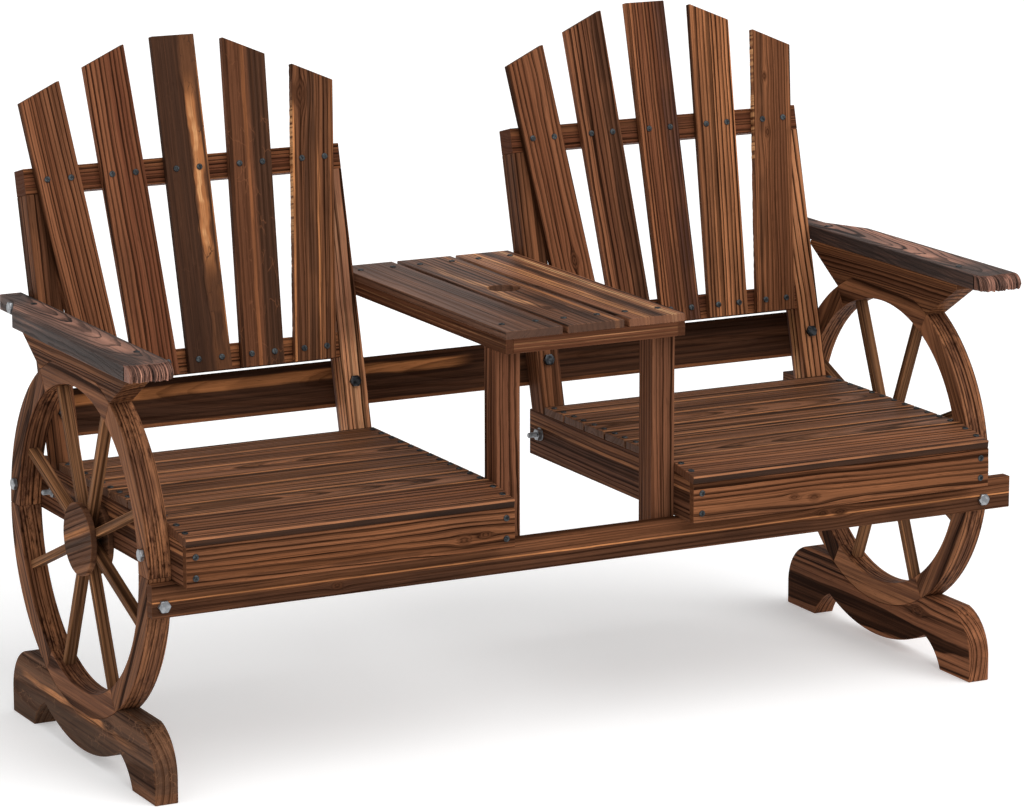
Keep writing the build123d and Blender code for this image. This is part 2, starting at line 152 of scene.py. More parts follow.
def arc_through(first: Point, middle: Point, last: Point, steps: int) -> list[Point]:
    """Points along the arc through three points.

    Args:
        first: Where the arc starts.
        middle: A point that it passes.
        last: Where it ends.
        steps: Number of chords.

    Returns:
        The points, both ends included.
    """
    (ax, ay), (bx, by), (cx, cy) = first, middle, last
    double = 2 * (ax * (by - cy) + bx * (cy - ay) + cx * (ay - by))
    a_square, b_square, c_square = ax * ax + ay * ay, bx * bx + by * by, cx * cx + cy * cy
    x = (a_square * (by - cy) + b_square * (cy - ay) + c_square * (ay - by)) / double
    y = (a_square * (cx - bx) + b_square * (ax - cx) + c_square * (bx - ax)) / double
    start, passing, end = (math.degrees(math.atan2(py - y, px - x)) for px, py in (first, middle, last))
    sweep = (end - start) % 360
    if (passing - start) % 360 > sweep:
        sweep -= 360
    return arc((x, y), math.dist(first, (x, y)), start, start + sweep, steps)


def rectangle(x0: float, x1: float, y0: float, y1: float) -> list[Point]:
    """The corners of a rectangle, anticlockwise."""
    return [(x0, y0), (x1, y0), (x1, y1), (x0, y1)]


def corners(loop: Sequence[Point]) -> Iterable[tuple[Point, Point, Point]]:
    """Every point of a closed loop, between the point before it and the point after it."""
    points = list(loop)
    return zip(points[-1:] + points[:-1], points, points[1:] + points[:1])


def signed_area(loop: Sequence[Point]) -> float:
    """The area inside a loop, positive where the loop runs anticlockwise."""
    return sum(here[0] * after[1] - after[0] * here[1] for _, here, after in corners(loop)) / 2


def inset(loop: Sequence[Point], distance: float) -> list[Point]:
    """Move every point of a loop to its left-hand side.

    Args:
        loop: Closed loop, anticlockwise outside and clockwise round a hole.
        distance: How far the edges move.

    Returns:
        The moved loop.
    """
    least_share = 0.35
    moved = []
    for before, here, after in corners(loop):
        first = Vector((here[0] - before[0], here[1] - before[1])).normalized()
        second = Vector((after[0] - here[0], after[1] - here[1])).normalized()
        left_a, left_b = Vector((-first.y, first.x)), Vector((-second.y, second.x))
        share = max(least_share, 1 + left_a.dot(left_b))
        push = (left_a + left_b) * (distance / share)
        moved.append((here[0] + push.x, here[1] + push.y))
    return moved


def rounded(loop: Sequence[Point], radius: float) -> list[Point]:
    """Ease the sharp corners of a loop.

    Args:
        loop: Closed loop of points.
        radius: Radius of the easing.

    Returns:
        The loop with three points in place of each sharp corner.
    """
    least_turn, most_run, corner_share, end_share = math.radians(24), 0.4, 0.42, 0.29
    eased: list[Point] = []
    for before, here, after in corners(loop):
        corner, back, fore = Vector(here), Vector(before) - Vector(here), Vector(after) - Vector(here)
        turn = math.pi - back.angle(fore)
        if turn < least_turn:
            eased.append(here)
            continue
        run = min(radius * math.tan(turn / 2), most_run * back.length, most_run * fore.length)
        start, end = corner + back.normalized() * run, corner + fore.normalized() * run
        middle = corner * corner_share + (start + end) * end_share
        eased += [tuple(start), tuple(middle), tuple(end)]
    return eased


def frayed(start: Point, end: Point, depth: float, pitch: float, seed: str) -> list[Point]:
    """A ragged run from one point towards another, always to the left of the straight line.

    Args:
        start: Where the run starts.
        end: Where it ends; the end itself is left out.
        depth: Deepest notch.
        pitch: Distance between points.
        seed: Word that fixes the raggedness.

    Returns:
        The points of the run, without the end.
    """
    memory, slow_part, jitter = 0.7, 0.55, 0.3
    rng = random.Random(seed)
    way = Vector((end[0] - start[0], end[1] - start[1]))
    left = Vector((-way.y, way.x)).normalized()
    count = max(2, round(way.length / pitch))
    points = [start]
    slow = rng.random()
    for number in range(1, count):
        slow = memory * slow + (1 - memory) * rng.random()
        bite = depth * (slow_part * slow + (1 - slow_part) * rng.random() ** 2)
        share = (number + rng.uniform(-jitter, jitter)) / count
        spot = Vector(start) + way * share + left * bite
        points.append((spot.x, spot.y))
    return points


def tube(first: int, count: int, levels: int) -> list[list[int]]:
    """Faces that join loops of equal count, one above the other.

    Args:
        first: Number of the lowest loop's first vertex.
        count: Points in each loop.
        levels: Number of loops.

    Returns:
        The four-sided faces, looking out where the loops run anticlockwise.
    """
    faces = []
    for low in range(first, first + (levels - 1) * count, count):
        high = low + count
        for here in range(count):
            after = (here + 1) % count
            faces.append([low + here, low + after, high + after, high + here])
    return faces


@dataclass
class Plank:
    """One board: an outline, its thickness, its place and the log it was sawn from.

    The outline is drawn in millimetres in the plane of the first two columns of place, and drawn out
    along the third.
    """

    outline: Sequence[Point]
    depth: float
    place: Matrix
    along: Vector
    across: Vector
    cut: Cut = Cut.QUARTER
    ease: float = 1.1
    tone: float = 1.0
    scorch: float = 0.5
    holes: Sequence[Sequence[Point]] = ()

    def loops(self) -> list[list[Point]]:
        """Turn the outline and the holes the right way round, and ease the outline's corners.

        Returns:
            The outline, anticlockwise, and then the holes, clockwise.
        """
        outer = list(self.outline)
        if signed_area(outer) < 0:
            outer.reverse()
        made = [rounded(outer, self.ease)]
        for hole in self.holes:
            inner = list(hole)
            if signed_area(inner) > 0:
                inner.reverse()
            made.append(inner)
        return made

    def shell(self) -> tuple[list[Vector], list[list[int]], list[float]]:
        """The board's skin in millimetres in the row frame.

        Returns:
            Vertices, faces and how much each vertex lies on an eased edge.
        """
        turns = (0.0, math.pi / 4, math.pi / 2)
        levels = [((1 - math.sin(turn)) * self.ease, (1 - math.cos(turn)) * self.ease, mark)
                  for turn, mark in zip(turns, EDGE_MARKS)]
        levels += [(offset, self.depth - height, mark) for offset, height, mark in reversed(levels)]
        verts: list[Vector] = []
        faces: list[list[int]] = []
        marks: list[float] = []
        lower: list[list[int]] = []
        upper: list[list[int]] = []
        for loop in self.loops():
            count, first = len(loop), len(verts)
            for offset, height, mark in levels:
                verts += [self.place @ Vector((x, y, height)) for x, y in inset(loop, offset)]
                marks += [mark] * count
            faces += tube(first, count, len(levels))
            lower.append(list(range(first, first + count)))
            upper.append(list(range(len(verts) - count, len(verts))))
        faces += self.cap(verts, lower, True) + self.cap(verts, upper, False)
        if self.place.determinant() < 0:
            faces = [face[::-1] for face in faces]
        return verts, faces, marks

    @staticmethod
    def cap(verts: list[Vector], loops: list[list[int]], turned: bool) -> list[list[int]]:
        """The faces that close one end.

        Args:
            verts: All vertices.
            loops: Vertex numbers of the end's outer loop and of its holes.
            turned: True for the lower end, which looks the other way.

        Returns:
            One many-sided face, or triangles round the holes.
        """
        if len(loops) == 1:
            return [loops[0][::-1] if turned else loops[0]]
        flat = [index for loop in loops for index in loop]
        pieces = tessellate_polygon([[verts[index] for index in loop] for loop in loops])
        made = [[flat[index] for index in piece] for piece in pieces]
        first, second, third = (verts[index] for index in loops[0][:3])
        want = (second - first).cross(third - second)
        facing = sum(((verts[b] - verts[a]).cross(verts[c] - verts[a]).dot(want) for a, b, c in made), 0.0)
        same = (facing > 0) != turned
        return made if same else [piece[::-1] for piece in made]

    def grain_axes(self) -> tuple[Vector, Vector, Vector]:
        """The board's own directions in the row frame.

        Returns:
            The ways along, across and through the board, each turned to the positive side.
        """
        spin = self.place.to_3x3()
        long_way = (spin @ self.along).normalized()
        wide_way = (spin @ self.across).normalized()
        wide_way = (wide_way - long_way * wide_way.dot(long_way)).normalized()
        ways = [long_way, wide_way, long_way.cross(wide_way)]
        return tuple(way if max(way, key=abs) > 0 else -way for way in ways)

    def pith(self, rng: random.Random) -> tuple[float, float, float, float]:
        """Where the heart of the log lay from the board's middle.

        Args:
            rng: Source of the board's own accidents.

        Returns:
            Distance across and through in millimetres, and its drift across and through along the board.
        """
        hand, log = rng.choice((-1, 1)), self.cut.value
        side, under = rng.uniform(*log.across), rng.uniform(*log.through)
        drift = rng.uniform(-log.drift, log.drift)
        if log.rake:
            return side, under, drift, hand * rng.uniform(*log.rake)
        return hand * side, under, drift, 0.0


@dataclass(frozen=True)
class Band:
    """A stripe of another colour along a board, measured in millimetres from its middle line."""

    centre: float
    half: float
    colour: Colour
    strength: float = 0.9
    sway: float = 6.0
    start: float = -ENDLESS
    end: float = ENDLESS
    feather: float = 0.9
    broken: float = 0.4
    over_lines: bool = False
    rate: float = 7.0
    under: float = ENDLESS


@dataclass(frozen=True)
class Knot:
    """A knot that pushes the grain aside, in millimetres from the board's middle."""

    along: float
    across: float
    radius: float


@dataclass(frozen=True)
class Cloud:
    """A cloud pattern in the wood, in turns per metre along and across the grain."""

    along: float
    across: float
    detail: float = 2.0
    rough: float = 0.5


@dataclass(frozen=True)
class Fir:
    """What all fir on the seat shares: its clouds, and the steps and shares by which they show."""

    shifts: Spot = (7.31, 3.17, 5.7)
    long_fibres: Cloud = Cloud(2.4, 210, 3.0, 0.62)
    fine_fibres: Cloud = Cloud(14, 900, 2.0, 0.6)
    flecks: Cloud = Cloud(55, 650, 1.0)
    pale_zones: Cloud = Cloud(0.9, 32)
    scorches: Cloud = Cloud(2.2, 13, 3.0, 0.55)
    slow_waves: Cloud = Cloud(3.2, 15)
    quick_waves: Cloud = Cloud(16, 70)
    quick_share: float = 0.22
    fleck_step: Point = (0.62, 0.74)
    zone_step: Point = (0.36, 0.66)
    scorch_step: Point = (0.62, 0.86)
    dim_step: Point = (0.26, 0.46)
    # Steps of the eased edges' lightening, which is partly wear and partly a painted highlight.
    wear_and_highlight_step: Point = (0.4, 0.7)
    end_calm: float = 0.8
    streak_gain: float = 2.4
    scorch_gain: float = 0.36
    dim_gain: float = 0.8
    wear_and_highlight_least: float = 0.2
    fleck_shade: float = -0.3
    end_shade: float = -0.55
    late_dullness: float = 0.14
    fibre_dullness: float = 0.2
    late_depth: float = -0.55
    long_height: float = 0.4
    fibre_height: float = 0.5
    line_depth: float = -0.2
    fleck_depth: float = -0.3
    relief_height: float = 0.0008
    bunch_rate: float = 0.55
    late_full: float = 0.84
    late_end: float = 0.94
    late_least: float = 0.6
    late_spread: float = 0.4
    lines_per_ring: float = 3.7
    line_stripe: Spot = (0.4, 0.9, 0.92)
    knot_stir_length: float = 2.4
    knot_core: float = 0.45
    knot_push: float = -0.8
    knot_length: float = 1.7
    knot_fray: float = 1.3
    knot_ripple: Spot = (13.0, 0.22, 0.3)
    knot_step: Point = (0.45, 1.15)
    knot_cover: float = 0.85
    band_step: Point = (0.7, 1.2)
    band_gap_shift: float = 31.7
    band_gap_step: Point = (0.36, 0.56)
    band_fade: float = 60.0
    band_sill: float = 0.6
    scratches: Cloud = Cloud(38, 80)
    scratch_bend: float = 0.9
    scratch_step: Point = (0.012, 0.045)
    scratch_group: Spot = (0.6, 0.6, 0.6)
    scratch_group_step: Point = (0.5, 0.62)


FIR = Fir()


class NodeSheet:
    """Short names for laying out a material's nodes."""

    def __init__(self, name: str) -> None:
        """Start a material with one surface shader.

        Args:
            name: The material's name.
        """
        self.material = bpy.data.materials.new(name)
        self.material.use_nodes = True
        self.tree = self.material.node_tree
        self.shader = self.tree.nodes["Principled BSDF"]

    def feed(self, socket: Socket, value: object) -> None:
        """Link a socket to another one, or set its own value.

        Args:
            socket: The socket that is fed.
            value: The other socket, or the value.
        """
        if isinstance(value, Socket):
            self.tree.links.new(value, socket)
        else:
            socket.default_value = value

    def make(self, kind: str, feeds: dict[object, object], **settings: object) -> bpy.types.Node:
        """Add a node.

        Args:
            kind: Its type, without the usual first words.
            feeds: What each of its sockets takes, by the socket's name or number.
            **settings: The node's own settings.

        Returns:
            The node.
        """
        made = self.tree.nodes.new(f"ShaderNode{kind}")
        for name, value in settings.items():
            setattr(made, name, value)
        for key, value in feeds.items():
            self.feed(made.inputs[key], value)
        return made

    def surface(self, feeds: dict[str, object]) -> bpy.types.Material:
        """Feed the surface shader's sockets, and hand over the finished material.

        Args:
            feeds: What each of its sockets takes, by the socket's name.

        Returns:
            The material.
        """
        for name, value in feeds.items():
            self.feed(self.shader.inputs[name], value)
        return self.material

    def attribute(self, name: str, output: str) -> Socket:
        """An attribute of the mesh."""
        return self.make("Attribute", {}, attribute_name=name).outputs[output]

    def split(self, vector: Socket) -> tuple[Socket, Socket, Socket]:
        """The three numbers of a vector."""
        return tuple(self.make("SeparateXYZ", {0: vector}).outputs)

    def join(self, *numbers: object) -> Socket:
        """A vector of three numbers."""
        return self.make("CombineXYZ", dict(enumerate(numbers))).outputs[0]

    def math(self, how: str, *numbers: object, clamp: bool = False) -> Socket:
        """A sum of one to three numbers."""
        return self.make("Math", dict(enumerate(numbers)), operation=how, use_clamp=clamp).outputs[0]

    def plus(self, first: object, second: object) -> Socket:
        """One number and another."""
        return self.math("ADD", first, second)

    def less(self, first: object, second: object) -> Socket:
        """One number less another."""
        return self.math("SUBTRACT", first, second)

    def times(self, first: object, second: object) -> Socket:
        """One number times another."""
        return self.math("MULTIPLY", first, second)

    def times_plus(self, first: object, second: object, third: object, clamp: bool = False) -> Socket:
        """One number times another, and a third on top."""
        return self.math("MULTIPLY_ADD", first, second, third, clamp=clamp)

    def length(self, first: object, second: object) -> Socket:
        """The long side over two sides at a right angle."""
        return self.math("SQRT", self.times_plus(first, first, self.times(second, second)))

    def vector(self, how: str, first: object, second: object) -> Socket:
        """A sum of two vectors."""
        return self.make("VectorMath", {0: first, 1: second}, operation=how).outputs[0]

    def scaled(self, vector: Socket, size: object) -> Socket:
        """A vector or colour times a number."""
        return self.make("VectorMath", {0: vector, "Scale": size}, operation="SCALE").outputs[0]

    def noise(self, where: Socket, detail: float = 2.0, rough: float = 0.5) -> bpy.types.Node:
        """A cloud pattern in three dimensions."""
        feeds = {"Vector": where, "Scale": 1.0, "Detail": detail, "Roughness": rough}
        return self.make("TexNoise", feeds, noise_dimensions="3D")

    def line_noise(self, where: Socket, detail: float) -> Socket:
        """A cloud pattern along one number."""
        feeds = {"W": where, "Scale": 1.0, "Detail": detail}
        return self.make("TexNoise", feeds, noise_dimensions="1D").outputs["Fac"]

    def rise(self, value: object, low: float, high: float, first: float = 0.0, last: float = 1.0) -> Socket:
        """A smooth step from one value to another."""
        feeds = {"Value": value, "From Min": low, "From Max": high, "To Min": first, "To Max": last}
        return self.make("MapRange", feeds, interpolation_type="SMOOTHSTEP").outputs["Result"]

    def fall(self, value: object, low: float, high: float) -> Socket:
        """A smooth step down from one to nothing."""
        return self.rise(value, low, high, 1.0, 0.0)

    def stripe(self, share: Socket, start: float, full: float, end: float) -> Socket:
        """A stripe in each turn of a count, which rises from start to full and is gone from end to one."""
        return self.times(self.rise(share, start, full), self.fall(share, end, 1.0))

    def mix(self, share: object, under: object, over: object) -> Socket:
        """Lay one colour over another, each as a socket or in display steps."""
        colours = [value if isinstance(value, Socket) else (*srgb(value), 1.0) for value in (under, over)]
        return self.make("Mix", {0: share, 6: colours[0], 7: colours[1]}, data_type="RGBA").outputs[2]

    def bump(self, height: Socket, strength: float, distance: float) -> Socket:
        """The surface's normal, with a relief."""
        feeds = {"Strength": strength, "Distance": distance, "Height": height}
        return self.make("Bump", feeds).outputs["Normal"]


@dataclass(frozen=True)
class WoodFinish:
    """Scorched fir: colours in display steps, ring spacing, wear and a painted edge highlight of one kind of
    board.
    """

    name: str
    warm: Colour = (112, 68, 45)
    pale: Colour = (152, 98, 67)
    dark: Colour = (26, 9, 2)
    char: Colour = (62, 42, 32)
    # Colour of the eased edges: lighter for wear, and also a painted edge highlight.
    rim: Colour = (132, 86, 60)
    ring: float = 7.5
    uneven: float = 1.6
    contrast: float = 1.0
    line_width: float = 0.64
    fine: float = 0.25
    streak: float = 0.6
    fibre: float = 0.5
    pale_share: float = 0.6
    wander: float = 9.0
    patch: float = 0.5
    gloss: float = 0.02
    roughness: float = 0.5
    relief: float = 0.5
    scratch: float = 0.0
    plain_ends: float = 0.75
    # How strongly the eased edges take the rim colour: wear together with a painted highlight.
    edge_wear_and_highlight: float = 0.5
    bands: tuple[Band, ...] = ()
    knots: tuple[Knot, ...] = ()

    def material(self) -> bpy.types.Material:
        """The material, laid out on a sheet of its own."""
        return WoodSheet(self).finished()


class WoodSheet(NodeSheet):
    """The node sheet of a wood finish, which reads the grain, log and mood that every board carries."""

    def __init__(self, look: WoodFinish) -> None:
        """Start the material, read the board's attributes and draw what every finish needs.

        Args:
            look: The finish.
        """
        super().__init__(look.name)
        self.look = look
        self.colour: object = look.warm
        self.grain = self.attribute("grain", "Vector")
        self.heart = self.attribute("heart", "Vector")
        self.sawn = self.attribute("sawn", "Fac")
        self.edge = self.attribute("edge", "Fac")
        self.along, self.across, self.through = self.split(self.grain)
        self.tone, self.scorch, self.seed = self.split(self.attribute("mood", "Vector"))
        self.shift = self.join(*(self.times(self.seed, rate) for rate in FIR.shifts))
        fibres = self.cloud(FIR.long_fibres)
        self.long = self.times_plus(self.less(0.5, fibres), self.times(self.sawn, FIR.end_calm), fibres)
        self.streaks = self.less(self.long, 0.5)
        self.fibre = self.cloud(FIR.fine_fibres)
        self.fleck = self.rise(self.cloud(FIR.flecks), *FIR.fleck_step)
        self.late, self.lines = self.rings()

    def stretched(self, where: Socket, cloud: Cloud) -> Socket:
        """A place drawn out along the grain, and moved by the board's own number."""
        drawn = self.vector("MULTIPLY", where, (cloud.along, cloud.across, cloud.across))
        return self.vector("ADD", drawn, self.shift)

    def cloud(self, cloud: Cloud) -> Socket:
        """A cloud pattern drawn out along the grain."""
        return self.noise(self.stretched(self.grain, cloud), cloud.detail, cloud.rough).outputs["Fac"]

    def from_knot(self, knot: Knot, length: float) -> tuple[Socket, Socket]:
        """How far a place is from a knot's middle, in the knot's own radii.

        Args:
            knot: The knot.
            length: How many times its width the knot is long.

        Returns:
            The distances along and across the board.
        """
        reach = length * knot.radius
        run = self.times_plus(self.along, 1 / (reach * MM), -knot.along / reach)
        rise = self.times_plus(self.across, 1 / (knot.radius * MM), -knot.across / knot.radius)
        return run, rise

    def rings(self) -> tuple[Socket, Socket]:
        """The yearly rings.

        Returns:
            The dark late wood, and the fine lines between.
        """
        place = self.heart
        for cloud, share in ((FIR.slow_waves, 1.0), (FIR.quick_waves, FIR.quick_share)):
            waves = self.noise(self.stretched(self.heart, cloud), cloud.detail, cloud.rough)
            stir = self.vector("SUBTRACT", waves.outputs["Color"], (0.5, 0.5, 0.5))
            place = self.vector("ADD", place, self.scaled(stir, self.look.wander * share * MM))
        _, across, through = self.split(place)
        for knot in self.look.knots:
            run, rise = self.from_knot(knot, FIR.knot_stir_length)
            square = self.times_plus(run, run, self.times_plus(rise, rise, FIR.knot_core))
            push = self.times(self.math("DIVIDE", rise, square), FIR.knot_push * knot.radius * MM)
            across = self.plus(across, push)
        count = self.times(self.length(across, through), 1 / (self.look.ring * MM))
        bunch = self.line_noise(self.times_plus(count, FIR.bunch_rate, self.seed), 1.0)
        count = self.times_plus(bunch, self.look.uneven, count)
        year = self.plus(self.math("FLOOR", count), self.seed)
        chance = self.make("TexWhiteNoise", {"W": year}, noise_dimensions="1D").outputs["Value"]
        start = 1 - self.look.line_width
        late = self.stripe(self.math("FRACT", count), start, FIR.late_full, FIR.late_end)
        late = self.times(late, self.times_plus(chance, FIR.late_spread, FIR.late_least))
        thin = self.math("FRACT", self.times(count, FIR.lines_per_ring))
        return late, self.stripe(thin, *FIR.line_stripe)

    def paint(self, share: Socket, over: object) -> None:
        """Lay another colour over the wood."""
        self.colour = self.mix(share, self.colour, over)

    def stain(self) -> None:
        """Colour the wood with its pale zones, bands, scorches, rings, knots and scratches."""
        look = self.look
        zone = self.rise(self.cloud(FIR.pale_zones), *FIR.zone_step)
        lift = self.times(self.streaks, FIR.streak_gain * look.streak)
        self.paint(self.times_plus(zone, look.pale_share, lift, clamp=True), look.pale)
        self.lay_bands(False)
        patch = self.times_plus(self.scorch, FIR.scorch_gain, self.cloud(FIR.scorches))
        self.paint(self.times(self.rise(patch, *FIR.scorch_step), look.patch), look.char)
        dim = self.rise(self.long, *FIR.dim_step, FIR.dim_gain * look.streak, 0.0)
        line = self.times_plus(self.lines, look.fine, dim)
        self.paint(self.times_plus(self.late, look.contrast, line, clamp=True), look.dark)
        self.lay_bands(True)
        self.draw_knots()
        if look.scratch:
            self.draw_scratches()

    def lay_bands(self, over_lines: bool) -> None:
        """Lay bands of other colours along the board.

        Args:
            over_lines: True for the bands that cover the rings, False for those under them.
        """
        for band in self.look.bands:
            if band.over_lines is not over_lines:
                continue
            step = self.times_plus(self.along, band.rate, self.plus(self.seed, band.centre))
            sway = self.line_noise(step, 2.0)
            middle = self.times_plus(sway, 2 * band.sway * MM, (band.centre - band.sway) * MM)
            fringe = self.times(self.streaks, 2 * band.feather * band.half * MM)
            away = self.plus(self.math("ABSOLUTE", self.less(self.across, middle)), fringe)
            gaps = self.line_noise(self.plus(step, FIR.band_gap_shift), 2.0)
            covers = [self.fall(away, *(band.half * share * MM for share in FIR.band_step)),
                      self.rise(gaps, *FIR.band_gap_step, 1 - band.broken, 1.0)]
            if band.start > -ENDLESS:
                covers.append(self.rise(self.along, band.start * MM, (band.start + FIR.band_fade) * MM))
            if band.end < ENDLESS:
                covers.append(self.fall(self.along, (band.end - FIR.band_fade) * MM, band.end * MM))
            if band.under < ENDLESS:
                covers.append(self.fall(self.through, (band.under - FIR.band_sill) * MM, band.under * MM))
            self.paint(functools.reduce(self.times, covers + [band.strength]), band.colour)

    def draw_knots(self) -> None:
        """Draw the knots' own dark hearts."""
        rate, swing, middle = FIR.knot_ripple
        for knot in self.look.knots:
            away = self.length(*self.from_knot(knot, FIR.knot_length))
            away = self.times_plus(self.streaks, FIR.knot_fray, away)
            ripple = self.times_plus(self.math("SINE", self.times(away, rate)), swing, middle)
            heart = self.mix(ripple, self.look.dark, self.look.warm)
            self.paint(self.rise(away, *FIR.knot_step, FIR.knot_cover, 0.0), heart)

    def draw_scratches(self) -> None:
        """Draw fine pale scratches over a plain board."""
        where = self.stretched(self.grain, FIR.scratches)
        bend = self.scaled(self.noise(where).outputs["Color"], FIR.scratch_bend)
        feeds = {"Vector": self.vector("ADD", where, bend), "Scale": 1.0}
        cells = self.make("TexVoronoi", feeds, feature="DISTANCE_TO_EDGE")
        thin = self.fall(cells.outputs["Distance"], *FIR.scratch_step)
        group = self.noise(self.vector("MULTIPLY", where, FIR.scratch_group), 1.0).outputs["Fac"]
        shown = self.times(thin, self.rise(group, *FIR.scratch_group_step))
        self.paint(self.times(shown, self.look.scratch), self.look.pale)

    def wear_and_light_edges(self) -> None:
        """Shade the fibres, flecks and sawn ends, and lighten the eased edges with wear and a painted
        highlight.
        """
        look = self.look
        self.paint(self.times(self.sawn, look.plain_ends), look.warm)
        light = self.times_plus(self.fibre, 2 * look.fibre, 1 - look.fibre)
        light = self.times(light, self.times_plus(self.fleck, FIR.fleck_shade, 1.0))
        light = self.times(light, self.times_plus(self.sawn, FIR.end_shade * look.plain_ends, 1.0))
        self.colour = self.scaled(self.colour, self.times(light, self.tone))
        # The eased edges turn lighter: partly wear, partly a painted highlight.
        worn_and_lit = self.rise(self.long, *FIR.wear_and_highlight_step, FIR.wear_and_highlight_least * look.edge_wear_and_highlight, look.edge_wear_and_highlight)
        self.paint(self.times(self.edge, worn_and_lit), look.rim)

    def finished(self) -> bpy.types.Material:
        """Lay out the whole finish.

        Returns:
            The material, with colour, roughness and relief from the board's own grain.
        """
        self.stain()
        self.wear_and_light_edges()
        least_dull = self.look.roughness - FIR.fibre_dullness / 2
        dull = self.times_plus(self.fibre, FIR.fibre_dullness, least_dull)
        height = self.times(self.fibre, FIR.fibre_height)
        for part, depth in ((self.long, FIR.long_height), (self.late, FIR.late_depth),
                            (self.fleck, FIR.fleck_depth), (self.lines, FIR.line_depth)):
            height = self.times_plus(part, depth, height)
        return self.surface({
            "Base Color": self.colour,
            "Roughness": self.times_plus(self.late, FIR.late_dullness, dull),
            "Specular IOR Level": self.look.gloss,
            "Normal": self.bump(height, self.look.relief, FIR.relief_height),
        })


@dataclass(frozen=True)
class SteelFinish:
    """Plated steel of the fasteners, with colours in display steps."""

    name: str
    bright: Colour
    dull: Colour
    roughness: float = 0.36
    metal: float = 0.85
    patches: Spot = (180, 180, 180)
    patch_step: Point = (0.38, 0.66)
    patch_roughness: float = 0.3
    patch_middle: float = 0.4
    relief: float = 0.05
    relief_height: float = 0.0002

    def material(self) -> bpy.types.Material:
        """Lay out a plated surface with worn patches.

        Returns:
            The material.
        """
        sheet = NodeSheet(self.name)
        place = sheet.make("TexCoord", {}).outputs["Object"]
        cloud = sheet.noise(sheet.vector("MULTIPLY", place, self.patches)).outputs["Fac"]
        least_rough = self.roughness - self.patch_middle * self.patch_roughness
        return sheet.surface({
            "Base Color": sheet.mix(sheet.rise(cloud, *self.patch_step), self.dull, self.bright),
            "Roughness": sheet.times_plus(cloud, self.patch_roughness, least_rough),
            "Metallic": self.metal,
            "Normal": sheet.bump(cloud, self.relief, self.relief_height),
        })


ORANGE = (196, 130, 82)
GOLD = (222, 164, 112)
AMBER = (160, 100, 62)
UMBER = (62, 42, 31)
SOOT = (36, 24, 18)
ASH = (62, 56, 54)
COAL = (48, 42, 40)


